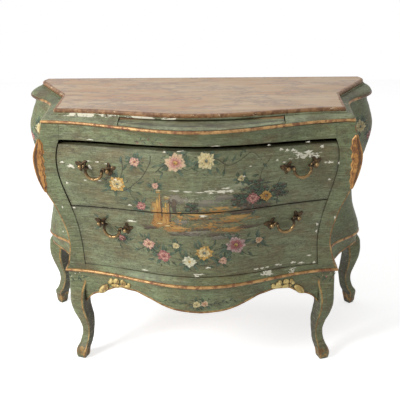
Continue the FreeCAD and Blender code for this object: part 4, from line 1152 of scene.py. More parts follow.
@dataclass
class Base:
    """Aprons and cabriole legs, flowing into each other at the knees."""

    front_edge: tuple = (
        (0, 230), (45, 232.5), (85, 236.5), (122, 246), (161, 261), (200, 275), (240, 280), (266, 280),
        (290, 274), (310, 262), (330, 249), (350, 243), (370, 232), (385, 215), (396, 200))
    side_edge: tuple = (
        (-92, 206), (-80, 222), (-66, 238), (-40, 250), (10, 252), (60, 247), (92, 257), (112, 272),
        (140, 282), (190, 284), (222, 264), (236, 238), (246, 214))
    front_leg: tuple = (
        (0, -415, -141, 34, -20), (8, -414, -143, 39, -21), (19, -413, -143, 41, -22),
        (35, -409, -141, 40, -22), (51, -402.6, -135, 36, -22), (67, -398, -128, 34, -22),
        (83, -395.7, -122, 32.5, -22), (99, -395, -117, 34, -22), (114, -396.7, -115, 38, -22),
        (130, -399.4, -114, 43, -22), (145, -404, -114, 48, -21), (161, -409, -114, 51.5, -20),
        (176, -413, -114, 53.5, -20), (192, -416, -114, 55, -19), (212, -417.4, -113, 56, -18),
        (238, -417, -111, 56.5, -15), (265, -418, -106, 58, -10), (295, -418, -101, 59, -4),
        (331, -413, -96, 60, 0))
    rear_leg: tuple = (
        (0, -560, 260, 26, -40), (8, -560, 260, 31, -41), (24, -559, 260, 34.5, -42),
        (38, -558.5, 260, 39, -42), (50, -557.6, 260, 41, -42), (62, -550, 261, 39, -41),
        (76, -544.5, 262, 37, -40), (102, -539.7, 262, 36, -38), (128, -539.6, 261, 40.6, -35),
        (153, -546, 260, 45, -33), (179, -552, 259, 50, -29), (204, -557, 258, 54, -24),
        (230, -558.5, 257, 56, -18), (255, -557.6, 257, 57, -12), (280, -555, 257, 57.5, -7),
        (306, -549, 257, 58, -3), (331, -536, 258, 57, 0))
    rims: tuple = (0, 1.2, 2.6, 4.2, 6, 7.6, 9.5, 13, 18)

    def rows(self, edge: Array) -> Array:
        """Heights of the rows of an apron: close together at its carved rim, then even up to the case."""
        near = [edge + rim for rim in self.rims]
        rest = [near[-1] + (BASE_LEVEL - near[-1]) * share for share in np.linspace(0, 1, 15)[1:]]
        return np.array(near + rest)

    def apron(self, way: int) -> None:
        """The front apron, or the side one on the left or right."""
        if way == 0:
            place = np.linspace(-392, 392, 240)
            far = np.abs(place)
            edge = flow(*np.array(self.front_edge).T, far)
            edge += 1.2 * np.sin(place / 9.0) * ease(120, 240, far) * (1 - ease(300, 330, far))
        else:
            place = np.linspace(-84, 240, 110)
            edge = flow(*np.array(self.side_edge).T, place)
        z = self.rows(edge)
        skin = np.zeros(z.shape + (3,))
        if way == 0:
            plans = {level: apron_plan(level) for level in np.unique(np.round(z, 1)).tolist()}
            for r, c in np.ndindex(*z.shape):
                skin[r, c] = place[c], plans[round(float(z[r, c]), 1)].front_y(place[c]), z[r, c]
        else:
            levels = np.linspace(200, 332, 34)
            lines = np.array([apron_plan(float(level)).side(way, 0, place)[:, 0] for level in levels])
            for c, y in enumerate(place):
                x = np.interp(z[:, c], levels, lines[:, c])
                skin[:, c] = np.column_stack([x, np.full(len(x), y), z[:, c]])
        rise = z - edge
        swell = 2.4 * np.sqrt(np.clip(1 - ((rise - 3.6) / 4.6) ** 2, 0, 1))
        push = np.array([way, 0 if way else -1, 0])
        gilt = 0.85 * (1 - ease(5.5, 8.5, rise)) * ease(0.2, 1.5, rise + 1)
        # Painted shade just under the lower bead, and a little darker near the carved rim.
        under = 0.55 * (1 - ease(0, 26, BASE_LEVEL - z))
        form = Form()
        form.slab(skin + push * swell[..., None], skin - push * 19, gilt=gilt, flake=0.12,
                  shade=np.maximum(under, 0.3 * (1 - ease(8, 20, rise))))
        name = {0: "front", -1: "left", 1: "right"}[way]
        form.piece(f"{name}_apron_skin", "carcass", FRAME_PAINT, f"{name}_apron", bevel=0.6)

    def block(self, front: bool, z: float) -> Array:
        """Corners of the knee of a left leg, from the outer front one round to the outer back one."""
        plan = apron_plan(z)
        line = plan.side_line()
        if front:
            x, y = plan.corner
            side = float(np.interp(-64, line[:, 1], line[:, 0]))
            return np.array([(-x + 0.6, y + 0.6), (-381, plan.front_y(381.0) + 0.5), (-381, -64),
                             (-side + 0.5, -64)])
        near, far = (float(np.interp(y, line[:, 1], line[:, 0])) for y in (229, 288))
        return np.array([(-near + 0.5, 229), (-514, 229), (-514, 288), (-far + 0.5, 288)])

    def leg(self, front: bool, way: int) -> None:
        """One cabriole leg, from its scrolled toe to the knee."""
        stations = np.array(self.front_leg if front else self.rear_leg, float)
        rings, marked = [], []
        for z in np.concatenate([np.linspace(0, 60, 25)[:-1], np.linspace(60, BASE_LEVEL, 56)]):
            x, y, side, turn = flow(stations[:, 0], stations[:, 1:], np.array([z]))[0]
            square = np.array([(-1, -1), (1, -1), (1, 1), (-1, 1)]) * side / 2
            corners = np.stack(turned(square[:, 0], square[:, 1], turn), axis=-1) + (x, y)
            knee = float(ease(232, 322, z)) if front else float(ease(262, 326, z))
            corners = corners * (1 - knee) + self.block(front, float(z)) * knee
            ring, marks = self.section(corners, knee)
            if z < 54:
                middle = corners.mean(axis=0)
                way_out = np.arctan2(ring[:, 1] - middle[1], ring[:, 0] - middle[0])
                toe = math.sin(math.pi * min(1.0, z / 50)) ** 0.8
                swirl = 0.05 * toe * np.cos(way_out - math.radians(215))
                lobes = 1 + 0.075 * toe * np.cos(6 * way_out + 0.6) + swirl
                ring = middle + (ring - middle) * lobes[:, None]
                marks[:, 0] = np.maximum(marks[:, 0], 0.5 * ease(0, 12, z) * (1 - ease(40, 54, z)))
                # The toe is painted darker, and fully dark in painted shade where it meets the floor.
                marks[:, 2] = np.maximum(marks[:, 2], max(1 - ease(4, 12, z), 0.6 * (1 - ease(36, 54, z))))
            if front and z > 300:
                marks[:, 0] = 0
            rings.append(np.column_stack([ring[:, 0] * -way, ring[:, 1], np.full(len(ring), z)]))
            marked.append(marks)
        rings, marked = np.array(rings), np.array(marked)
        rings[3:-6, :, :2] += 0.5 * ripple(rings[3:-6], 37, way + 2.0 * front)[..., None]
        form = Form()
        form.stack(rings, gilt=marked[..., 0], wear=marked[..., 1], shade=marked[..., 2], flake=0.14)
        name = f"{hand(way)}_{'front' if front else 'rear'}_leg"
        form.piece(f"{name}_carved", "carcass", FRAME_PAINT, name, sharp=48)

    @staticmethod
    def section(corners: Array, knee: float) -> tuple[Array, Array]:
        """One level section of a leg.

        Args:
            corners: Its four corners: outer front, inner front, inner back and outer back.
            knee: How far it has turned into the knee block, from 0 to 1.

        Returns:
            The points of its outline with the corners rounded, and the gilt, wear and shade at each.
        """
        shares = (0.36 * (1 - 0.85 * knee), 0.13 * (1 - 0.6 * knee), 0.13, 0.13 + 0.1 * (1 - knee))
        leafed = {0: (0,) * 4 + (0.3,) * 3 + (0,) * 5 + (0.35,), 1: (0.66,) * 2 + (0,) * 11}
        ring, marks = [], []
        # Painted shade by face: the front stays light, the inner face is fully dark, the back nearly so and
        # the outer face half dark; the arc of the inner front corner, under its gilt line, stays light.
        for k, (share, dark) in enumerate(zip(shares, (0.15, 1.0, 0.9, 0.5))):
            here, last, following = corners[k], corners[k - 1] - corners[k], corners[(k + 1) % 4] - corners[k]
            back, on = np.linalg.norm(last), np.linalg.norm(following)
            radius = share * min(back, on)
            end = here + following / on * radius
            arc = bezier([here + last / back * radius, here, end], np.linspace(0, 1, 7))
            flat = np.linspace(end, here + following * (1 - shares[(k + 1) % 4]), 8)[1:-1]
            ring += [*arc, *flat]
            gilt = leafed.get(k, (0,) * 13)
            marks += [(gilt[n], 0.3 if n < 7 else 0.1, 0.1 if k == 1 and n < 4 else dark) for n in range(13)]
        return np.array(ring), np.array(marks)

    def build(self) -> None:
        """Build the aprons and the legs."""
        for way in (0, -1, 1):
            self.apron(way)
        for front in (True, False):
            for way in (-1, 1):
                self.leg(front, way)


@dataclass
class Carving:
    """The carved and gilt leaves: one over each front corner, and a leaf and shell on each knee."""

    low: float = 622
    high: float = 800
    heights: tuple[float, ...] = (622, 646, 678, 712, 744, 774, 800)
    halves: tuple[float, ...] = (4, 16, 24, 29, 30, 25, 7)

    def mount(self, way: int) -> None:
        """The long fluted leaf on a front corner."""
        drop = 9 if way < 0 else 0
        reach, columns = 70, 41
        lengths = np.arange(-reach, reach + 1).astype(float)
        across = np.linspace(-1, 1, columns)
        ribs = 0.5 + 0.5 * np.cos(across * math.pi * 3)
        rim = bell(np.abs(across), 0.93, 0.07)
        outer, inner = [], []
        for up in np.linspace(0, self.high - self.low, 90):
            z = self.low + up - drop
            half = float(flow(self.heights, self.halves, np.array([up + self.low]))[0])
            half *= 1 + 0.07 * math.cos(up / 178 * 2 * math.pi * 6.5)
            plan = case_plan(float(z))
            front = plan.front(np.linspace(plan.corner[0] - reach, plan.corner[0], reach + 1), z)
            side = plan.side(1, z, np.linspace(plan.corner[1], plan.corner[1] + reach, reach + 1)[1:])
            line = np.concatenate([front, side])
            s = across * half
            at, base = (np.column_stack([np.interp(s, lengths, run[k]) for k in (0, 1)]) for run in (
                [np.convolve(line[:, k], np.ones(15) / 15, "same") for k in (0, 1)], line.T))
            angle = math.radians(-45) - s / 70
            outward = np.column_stack([np.cos(angle), np.sin(angle)])
            lift = 6.2 + 2.6 * ribs * (1 - np.abs(across) ** 4) + 1.8 * rim
            lift *= 0.45 + 0.55 * math.sin(math.pi * (up + 12) / (self.high - self.low + 24)) ** 0.5
            outer.append(np.column_stack([at + outward * lift[:, None], np.full(columns, z)]) * (way, 1, 1))
            inner.append(np.column_stack([base + outward * 0.2, np.full(columns, z)]) * (way, 1, 1))
        form = Form()
        # Painted shade in the grooves between the ribs.
        form.slab(np.array(outer), np.array(inner), shade=0.85 * (1 - ribs) * (1 - rim) + 0.1, flake=0.1)
        form.piece(f"{hand(way)}_corner_leaf", "carcass", MOUNT_GILT, f"{hand(way)}_corner_mount", sharp=70)

    @staticmethod
    def lobe(form: Form, x: float, z: float, turn: float, length: float, width: float, lift: float) -> None:
        """Add one carved lobe on the front apron, with a ridge down its middle."""
        t, across = np.linspace(0, 1, 15)[:, None], np.linspace(-1, 1, 9)[None, :]
        half = 0.62 * width * np.sin(np.pi * np.clip(t * 0.92 + 0.06, 0, 1)) ** 0.6
        out, up = turned(t * length + 0 * across, half * across, turn)
        height = lift * np.sqrt(np.clip(1 - across ** 2, 0, 1)) * np.sin(np.pi * (t * 0.9 + 0.07)) ** 0.5
        height = height + 0.9 * np.cos(across * math.pi * 2) * np.sin(np.pi * t)
        base = apron_plan(290).front_y(x + out) - 0.5
        front = np.stack([x + out, base - np.clip(height, 0.4, None), z + up], axis=-1)
        back = np.stack([x + out, base + 3, z + up], axis=-1)
        # Painted shade towards the edges of each lobe, where it sinks to the ground.
        form.slab(front, back, shade=0.75 * np.abs(across) ** 3, flake=0)

    def knee_leaves(self) -> None:
        """The slanted leaf and ragged shell at each end of the front apron."""
        lobes = ((312, 281, 313, 46, 20, 6), (309, 287, 130, 20, 12, 5), (300, 290, 95, 20, 12, 6),
                 (288, 292, 110, 20, 13, 6), (276, 293, 80, 20, 13, 6), (262, 293, 100, 20, 13, 6),
                 (250, 291, 70, 18, 12, 5), (240, 290, 110, 15, 11, 5), (234, 291, 60, 14, 10, 4),
                 (300, 284, 178, 34, 13, 5), (268, 288, 176, 36, 12, 5))
        form = Form()
        for way in (-1, 1):
            for x, z, turn, length, width, lift in lobes:
                self.lobe(form, way * x, z, turn if way > 0 else 180 - turn, length, width, lift)
        form.piece("apron_leaves", "carcass", LEAF_GILT, "apron_carvings", sharp=60)

    def build(self) -> None:
        """Build all the carving."""
        for way in (-1, 1):
            self.mount(way)
        self.knee_leaves()


@dataclass
class Handle:
    """One drop handle: where it sits on its drawer, and its metalwork."""

    drawer: str
    side: str
    x: float
    z: float
    slope: float
    span: float = 92
    drop: float = 34
    out: float = 17

    def __post_init__(self) -> None:
        """Work out the handle's place and the way that it faces."""
        plan = case_plan(self.z)
        near, far = plan.front_y(self.x - lean(self.z) + np.array([-0.5, 0.5]) * self.span)
        self.facing = math.atan2(far - near, self.span)
        self.y = (near + far) / 2

    def put(self, points: Array, shift: float = 0.0) -> Array:
        """Points from the handle's own frame into the chest's; shift slides them along the handle."""
        x, z = turned(points[..., 0] + shift, points[..., 2], self.slope)
        x, y = turned(x, points[..., 1], math.degrees(self.facing))
        return np.stack([self.x + x, self.y + y, self.z + z], axis=-1)

    def bail(self) -> None:
        """The swan-necked bail, hooked into the heads of its posts."""
        end, bow_half, foot = 35.5, 27.5, 7.5
        neck = [(end + 4.5, 0.4), (end + 1.8, 3.6), (end - 2.6, 6.2), (end - 6.6, 4.6), (end - 8.2, 0.6),
                (bow_half - 0.5, -5)]
        swing = [(bow_half * math.cos(math.radians(a)),
                  -foot + (self.drop - foot) * math.sin(math.radians(a)))
                 for a in (-15, -35, -55, -75, -90)]
        half = np.array(neck + swing)
        whole = np.concatenate([half, half[-2::-1] * (-1, 1)])
        t = np.linspace(0, len(whole) - 1, 120)
        path = flow(np.arange(len(whole)), whole, t)
        centre = np.abs(t / (len(whole) - 1) * 2 - 1)
        radii = 3.2 + 1.7 * (1 - ease(0.35, 0.95, centre)) + 0.9 * bell(centre, 0.0, 0.06)
        rings = tube(np.column_stack([path[:, 0], np.zeros(len(path)), path[:, 1]]), radii)
        form = Form(leans=False)
        form.stack(self.put(rings - (0, self.out, 0)), wear=(1 - ease(0.1, 0.6, centre))[:, None])
        for way in (-1, 1):
            line = np.linspace((way * 34, 0, 0), (way * 50, 0, 0), 6)
            form.stack(self.put(tube(line, np.full(6, 2.15), 16) - (0, self.out, 0)))
        name = f"{self.drawer}_{self.side}_bail"
        form.piece(f"{name}_cast", name, BRASS, name, sharp=50)

    def posts(self, form: Form) -> None:
        """Add the two turned posts and their shanks."""
        profile = ((52, 2.9), (0.5, 2.9), (-0.6, 6.4), (-2.6, 6.6), (-4.2, 5.0), (-6, 3.9), (-9.4, 3.7),
                   (-11.2, 5.2), (-13, 6.3), (-15.6, 7.0), (-18.4, 7.0), (-21, 6.0), (-22.8, 4.2),
                   (-23.8, 2.0),
                   (-24.1, 0.5))
        wear = ease(12, 22, -np.array(profile)[:, :1])
        for way in (-1, 1):
            form.stack(self.put(lathe(profile, 20), way * self.span / 2), wear=wear)

    def plates(self, form: Form) -> None:
        """Add the two leafy back plates."""
        t, across = np.linspace(0, 1, 12)[:, None], np.linspace(-1, 1, 7)[None, :]
        half = (6.4 + 1.2 * np.sin(9 * t)) * np.sin(math.pi * (0.16 + 0.8 * t)) ** 0.6
        height = 1.6 + 2.2 * (1 - np.abs(across)) * np.sin(math.pi * (0.15 + 0.8 * t))
        for way in (-1, 1):
            for k in range(8):
                turn = 2 * math.pi * k / 8 + 0.3 * way + 0.2 * math.sin(5 * k)
                length = (20, 12, 16, 11)[k % 4] + (4 if math.sin(turn) > 0.5 else 0)
                curl = 7.2 * math.sin(3 * turn + 1)
                x, z = turned(3 + t * length + 0 * across, half * across + curl * t ** 2, math.degrees(turn))
                flat = self.put(np.stack([x, 0 * x, z], axis=-1), way * self.span / 2)
                skin = on_front(flat[..., 0] - lean(flat[..., 2]), flat[..., 2])
                skin[..., 0] = flat[..., 0]
                front, back = skin.copy(), skin.copy()
                front[..., 1] -= height
                back[..., 1] += 2
                form.slab(front, back, wear=0.6 * (1 - np.abs(across)))
            boss = lathe(((4, 10.5), (-1.8, 10.5), (-3.6, 8.8), (-4.2, 6.5)), 18)
            form.stack(self.put(boss, way * self.span / 2), wear=0.3)


@dataclass
class Drawer:
    """One drawer: its swelling painted front and the metalwork on it."""

    name: str
    case: Carcass
    handles: list[Handle]
    bottom: tuple[float, float]
    top: tuple[float, float]
    core: tuple[float, float, float]
    shift: float = 0.0
    gap: float = 1.6
    flake_spots: tuple = ()
    columns: int = 210
    rows: int = 76

    def front(self) -> None:
        """The painted front, its flaking thick where the paint has suffered."""
        t = np.linspace(-1, 1, self.columns)[None, :]
        s = np.linspace(0, 1, self.rows)[:, None]
        x = 420 * t + 0 * s
        for _ in range(4):
            low, high = (ends[0] + (ends[1] - ends[0]) * (x + 396) / 792 for ends in (self.bottom, self.top))
            z = low + s * (high - low)
            x = self.shift + t * (self.case.half_opening(z) - self.gap - abs(self.shift))
        front = on_front(x, z)
        back = front.copy()
        back[..., 1] = self.core[1] + (self.core[2] - self.core[1]) * bow((1 - x / self.core[0]) / 2)
        edge = np.minimum.reduce([z - low, high - z, (1 - np.abs(t)) * 420 + 0 * s])
        flake = np.zeros(z.shape)
        for at_x, at_z, wide, tall, strong in self.flake_spots:
            flake = np.maximum(flake, strong * bell(x, at_x, wide) * bell(z, at_z, tall))
        form = Form()
        # Painted shade: darker towards the edges, and fully dark along the rim beside the gaps.
        form.slab(front, back, wear=0.3 * (1 - ease(0, 3.4, edge)),
                  flake=flake + 0.25 * (1 - ease(0, 4, edge)),
                  shade=np.maximum(0.42 * (1 - ease(0, 16, edge)) + 0.1, 1 - ease(1.0, 3.6, edge)))
        form.piece(f"{self.name}_painted_front", self.name, DRAWER_PAINT, f"{self.name}_front", bevel=1.0)

    def build(self) -> None:
        """Build the front and its handles."""
        self.front()
        posts, plates = Form(leans=False), Form(leans=False)
        for handle in self.handles:
            handle.posts(posts)
            handle.plates(plates)
            handle.bail()
        posts.piece(f"{self.name}_posts_cast", self.name, BRASS, f"{self.name}_handle_posts", sharp=40)
        plates.piece(f"{self.name}_plates_cast", self.name, PLATE_BRASS, f"{self.name}_handle_plates",
                     sharp=50)


@dataclass
class Brushwork:
    """Painted ornament on one body: leaves, stems, flowers, washes and bare spots as thin sheets on its skin.

    Each sheet lies a fraction of a millimetre over the skin that the surface gives for two distances and
    a lift. One of its marks runs from root to tip and the other from the middle to the rim.
    """

    name: str
    body: str
    surface: Callable[[Array, Array, float], Array]
    leans: bool = True
    forms: dict[Paint, Form] = field(default_factory=dict)

    def lay(self, paint: Paint, u: Array, v: Array, lift: float, along: Array, across: Array) -> None:
        """Add one sheet, unless the surface pushes nearly all of it aside.

        Args:
            paint: Its pigment.
            u: Distances along the surface.
            v: Heights on it.
            lift: Height over the skin.
            along: 0 at the root, 1 at the tip.
            across: 0 in the middle, 1 at the rim.
        """
        grid = self.surface(u, v, lift)
        if np.ptp(v) > 1 and np.ptp(grid[..., 2]) < 0.25 * np.ptp(v):
            return
        self.forms.setdefault(paint, Form(self.leans)).sheet(grid, along=along, across=across)

    def leaf(self, u: float, v: float, turn: float, length: float, width: float, paint: Paint,
             lift: float = 0.18) -> None:
        """A pointed leaf from its root, bent a little."""
        t, a = np.linspace(0, 1, 9)[:, None], np.linspace(-1, 1, 5)[None, :]
        half = width / 2 * np.sin(np.pi * t ** 0.85) ** 0.8 + 0.15
        bend = 0.16 * length * math.sin(turn * 0.37)
        x, y = turned(t * length, half * a + bend * t ** 2, turn)
        self.lay(paint, u + x, v + y, lift, t, np.abs(a))

    def stem(self, points: tuple[tuple[float, float], ...], width: float = 3.4,
             paint: Paint = Paint.STEM) -> None:
        """A thin curving stem through its points."""
        line = np.array(points, float)
        t = np.linspace(0, len(line) - 1, 8 * (len(line) - 1) + 1)
        path = flow(np.arange(len(line)), line, t)
        if len(line) == 2:
            path = line[0] + (line[1] - line[0]) * t[:, None]
        way = np.gradient(path, axis=0)
        way /= np.linalg.norm(way, axis=1)[:, None]
        along = (t / t[-1])[:, None]
        off = np.stack([-way[:, 1], way[:, 0]], axis=-1) * width / 2 * (1 - 0.5 * along)
        a = np.linspace(-1, 1, 3)
        grid = path[:, None, :] + off[:, None, :] * a[None, :, None]
        self.lay(paint, grid[..., 0], grid[..., 1], 0.14, along, 0.6 * np.abs(a))

    def patch(self, u: float, v: float, wide: float, tall: float, paint: Paint, lift: float = 0.1,
              rough: float = 0.16) -> None:
        """A blot of wash, or a spot where the ground shows, with an uneven outline."""
        t, a = np.linspace(0.02, 1, 5)[:, None], np.linspace(0, 2 * math.pi, 25)[None, :]
        edge = 1 + rough * (np.sin(3 * a + u) + np.sin(5 * a + v * 0.7) + 0.7 * np.sin(8 * a + u * 0.3))
        x, y = wide / 2 * t * edge * np.cos(a), tall / 2 * t * edge * np.sin(a)
        self.lay(paint, u + x, v + y, lift, 0.5 + 0.5 * np.sin(a), t)

    def petals(self, u: float, v: float, radius: float, count: int, paint: Paint, lift: float, turn: float,
               plump: float) -> None:
        """A ring of rounded petals, seen a little from the side.

        Args:
            u: Distance of its middle along the surface.
            v: Height of its middle.
            radius: Length of a petal.
            count: Number of petals.
            paint: Their pigment.
            lift: Height over the skin.
            turn: Turn of the whole ring in radians.
            plump: Width of a petal against its share of the ring.
        """
        t, a = np.linspace(0.12, 1, 7)[:, None], np.linspace(-1, 1, 5)[None, :]
        tip = np.sqrt(np.clip(1 - ((t - 0.6) / 0.41) ** 2, 0, 1))
        half = plump * math.pi * radius / count * np.where(t < 0.6, 0.3 + 0.7 * t / 0.6, tip)
        for k in range(count):
            way = 2 * math.pi * k / count + turn + 0.16 * math.sin(7.3 * k + u)
            reach = radius * (1 + 0.13 * math.sin(4.1 * k + v))
            x, y = turned(t * reach - 0.1 * reach * np.abs(a) ** 2 * t, half * a, math.degrees(way))
            self.lay(paint, u + x, v + 0.9 * y, lift + 0.03 * (k % 3), t, np.abs(a) * 0.75 + 0.15 * t)

    def flower(self, u: float, v: float, radius: float, paint: Paint) -> None:
        """An open flower: large ones carry a second ring and an eye, roses a folded heart."""
        turn = 0.01 * u + 0.02 * v
        rose = paint in (Paint.ROSE, Paint.PINK)
        self.petals(u, v, radius, 9 if radius < 16 else 12, paint, 0.26, turn, 1.45)
        if rose or radius > 26:
            heart = {Paint.ROSE: Paint.PINK, Paint.PINK: Paint.BLUSH, Paint.BLUSH: Paint.PINK,
                     Paint.OCHRE: Paint.CREAM, Paint.VIOLET: Paint.ROSE}.get(paint, paint)
            self.petals(u, v, radius * 0.66, 8, heart, 0.38, turn + 0.4, 1.25)
        golden = paint in (Paint.VIOLET, Paint.WHITE, Paint.BLUSH)
        eye = Paint.GOLD_EYE if golden else Paint.ROSE if rose else Paint.BLUE_EYE
        self.patch(u, v, radius * 0.55, radius * 0.5, eye, 0.5, rough=0.05)
        self.patch(u - 1, v - 1, radius * 0.26, radius * 0.22, Paint.DARK_LEAF, 0.56, rough=0.05)

    def spray(self, u: float, v: float, radius: float, paint: Paint, leaves: int = 8) -> None:
        """A flower with leaves behind it and small ones round it."""
        for k in range(leaves):
            turn = 360 * k / leaves + 37 * math.sin(u + k) + 0.3 * v
            x, y = turned(0.5 * radius, 0, turn)
            length = 13 + 0.85 * radius * (0.8 + 0.3 * math.sin(3 * k))
            self.leaf(u + x, v + y, turn, length, 9 + 0.3 * radius, GREENS[k % 2], 0.12)
        for k in range(6):
            turn = 60 * k + 50 * math.sin(v + k)
            x, y = turned(radius * 1.15 + 5 * math.sin(u + 3 * k), 0, turn)
            self.leaf(u + x, v + y, turn + 40, 11, 4.5, (Paint.STEM, Paint.DARK_LEAF)[k % 2], 0.11)
        self.flower(u, v, radius, paint)

    def bare(self, spots: tuple[tuple[float, float, float, float], ...], lift: float) -> None:
        """Spots where the paint is gone: middle, width and height of each."""
        for u, v, wide, tall in spots:
            self.patch(u, v, wide, tall, Paint.GROUND, lift, rough=0.24)

    def finish(self) -> None:
        """Make one piece of each pigment. Nothing so thin throws a shadow."""
        for paint, form in self.forms.items():
            made = form.piece(f"{self.name}_{paint.value.name}", self.body, paint.value, sharp=180)
            made.visible_shadow = False


@dataclass
class Decoration:
    """The flowers, the landscape and the bare spots of the drawers, the frame and the sides."""

    case: Carcass
    split: tuple[float, float] = (568.0, 587.0)
    stems: tuple = (
        ((-140, 759), (-143, 735), (-169, 688), (-202, 655), (-204, 627), (-174, 592)),
        ((-231, 747), (-229, 705), (-248, 660)), ((-124, 710), (-100, 731), (-63, 742)),
        ((31, 748), (62, 753), (98, 733), (135, 746), (170, 768), (202, 741)),
        ((176, 618), (161, 651), (194, 677), (203, 709), (227, 745)), ((217, 620), (248, 651), (263, 683)),
        ((87, 705), (89, 743)), ((-202, 655), (-239, 634), (-279, 636)),
        ((-63, 742), (-30, 720), (-11, 727)),
        ((-158, 457), (-137, 431), (-111, 420), (-73, 413), (-31, 405)),
        ((18, 430), (57, 446), (89, 454), (121, 458), (166, 473), (204, 463)),
        ((-241, 458), (-262, 489), (-296, 521)), ((-31, 405), (9, 392), (55, 400)),
        ((121, 458), (152, 421), (190, 408)), ((-158, 457), (-189, 433), (-212, 440)))
    flowers: tuple = (
        (-248, 660, 28, Paint.OCHRE), (-190, 738, 16, Paint.PINK), (-63, 742, 32, Paint.BLUSH),
        (31, 748, 29, Paint.CREAM), (176, 618, 20, Paint.ROSE), (217, 622, 19, Paint.OCHRE),
        (-174, 592, 16, Paint.ROSE), (-126, 665, 11, Paint.PINK), (139, 689, 11, Paint.CREAM),
        (-158, 457, 20, Paint.PINK), (-111, 420, 23, Paint.ROSE), (-31, 405, 22, Paint.WHITE),
        (19, 437, 28, Paint.OCHRE), (121, 458, 32, Paint.VIOLET), (-70, 460, 12, Paint.CREAM),
        (77, 406, 14, Paint.PINK), (194, 465, 12, Paint.BLUSH), (-247, 465, 12, Paint.ROSE))
    leaves: tuple = (
        (-232, 731, 100), (-226, 709, 60), (-156, 708, 150), (-137, 723, 30), (-119, 717, -30),
        (-187, 639, -20), (-215, 615, 200), (-183, 667, 20), (-14, 727, -25), (-101, 712, -110),
        (-38, 763, 50), (-84, 765, 120), (62, 726, -60), (86, 721, -90), (80, 740, 40), (110, 742, 60),
        (135, 755, 80), (152, 769, 130), (205, 731, -50), (194, 697, 200), (210, 669, -10), (248, 658, 10),
        (264, 628, -30), (151, 648, 160), (155, 610, 200), (198, 640, 80), (240, 607, -20),
        (-279, 636, 190), (-280, 670, 160), (-216, 647, -30), (-321, 533, 150), (-296, 528, 60),
        (-270, 506, -30), (-315, 500, 210), (-256, 444, -80), (-224, 461, 20), (-189, 433, 190),
        (-175, 476, 120), (-132, 442, 60), (-142, 405, 200), (-74, 434, 50), (-86, 402, -40),
        (-55, 429, 110), (-9, 406, -60), (51, 461, 70), (67, 435, 20), (50, 415, -40), (82, 437, -80),
        (-3, 459, 110), (157, 482, 60), (158, 427, -40), (186, 481, 80), (204, 448, -20), (90, 490, 140),
        (104, 420, 230), (31, 391, -30), (-52, 566, 60), (170, 560, 40))
    spots: tuple = (
        (-424, 720, 13, 6), (-398, 708, 19, 11), (-339, 729, 16, 4), (-309, 728, 13, 4), (-277, 724, 19, 4),
        (-352, 663, 10, 4), (-309, 666, 26, 4), (-413, 649, 8, 8), (-253, 675, 13, 5), (260, 769, 13, 8),
        (279, 765, 13, 9), (298, 763, 19, 9), (314, 746, 13, 11), (345, 753, 26, 16), (371, 739, 22, 12),
        (388, 769, 13, 11), (402, 717, 10, 6), (271, 728, 10, 6), (249, 737, 8, 6), (417, 716, 20, 8),
        (417, 658, 10, 7), (167, 725, 8, 5), (148, 694, 8, 5), (-64, 652, 32, 4), (-24, 650, 32, 4),
        (13, 648, 26, 4), (47, 645, 16, 5), (80, 647, 29, 9), (105, 649, 26, 9), (93, 659, 26, 5),
        (-399, 560, 10, 6), (-211, 533, 29, 8), (20, 568, 22, 9), (-211, 591, 13, 5), (182, 363, 16, 6),
        (201, 363, 13, 6), (218, 364, 13, 5), (251, 367, 16, 6), (304, 367, 19, 7), (358, 386, 16, 6),
        (374, 359, 10, 8), (384, 498, 8, 12), (382, 472, 6, 12), (28, 384, 19, 6), (0, 362, 30, 4),
        (-180, 360, 22, 4), (330, 362, 20, 6))
    washes: tuple = (
        (Paint.PALE, 0.04, ((40, 640, 300, 70), (-30, 610, 280, 80), (120, 660, 160, 50))),
        (Paint.MIST, 0.05, ((-60, 618, 130, 44), (30, 610, 160, 34), (150, 606, 140, 40),
                            (90, 628, 100, 26))),
        (Paint.EARTH, 0.06, ((70, 588, 220, 34), (0, 566, 240, 36), (110, 552, 200, 34), (40, 534, 240, 32),
                             (-118, 574, 70, 90), (-104, 540, 110, 60), (-60, 520, 140, 30),
                             (100, 516, 140, 22))),
        (Paint.UMBER, 0.08, ((40, 556, 190, 9), (70, 540, 150, 7), (20, 520, 180, 12), (-40, 503, 170, 20),
                             (150, 520, 150, 14), (60, 500, 150, 16), (150, 575, 130, 24),
                             (190, 592, 110, 30),
                             (-70, 600, 24, 60), (-150, 520, 60, 20))),
        (Paint.MIST, 0.09, ((-20, 506, 190, 24), (90, 492, 130, 18), (-50, 545, 60, 26))))
    columns: tuple = ((-118, 536, 648), (-92, 530, 628))
    urn: tuple = ((540, 18, 8), (550, 10, 10), (563, 28, 20), (574, 20, 6), (579, 26, 5))
    trees: tuple = (
        (168, 578, 92, 12), (206, 574, 72, -6), (250, 590, 60, 8), (140, 570, 60, -6), (-20, 566, 40, 5))
    frame_spots: tuple = (
        (222, 785, 10, 5), (344, 785, 13, 5), (-330, 796, 24, 3), (60, 792, 30, 3), (444, 712, 6, 9),
        (441, 520, 6, 12), (-438, 560, 5, 10), (-446, 470, 6, 6))
    knee_flowers: tuple = (
        (-437, 300, 7, Paint.WHITE), (-424, 311, 6, Paint.WHITE), (-408, 316, 7, Paint.WHITE),
        (-400, 302, 5, Paint.CREAM), (432, 312, 6, Paint.WHITE), (418, 300, 9, Paint.PINK),
        (405, 306, 6, Paint.CREAM), (441, 296, 6, Paint.PINK))
    side_stems: tuple = (((60, 500), (72, 560), (96, 620), (90, 690), (112, 745)),
                         ((96, 620), (140, 650), (168, 700)),
                         ((72, 560), (36, 600), (30, 650)))
    side_leaves: tuple = (
        (70, 540, 130), (78, 580, 30), (98, 640, 60), (92, 680, 140), (96, 710, 40), (130, 646, -20),
        (156, 676, 100), (50, 586, 200), (34, 620, 60), (62, 510, 20), (110, 735, 100), (168, 700, 20),
        (30, 648, 150))
    side_flowers: tuple = (
        (92, 616, 30, Paint.PINK), (112, 748, 24, Paint.CREAM), (166, 704, 20, Paint.ROSE),
        (32, 654, 20, Paint.OCHRE), (66, 510, 18, Paint.BLUSH))

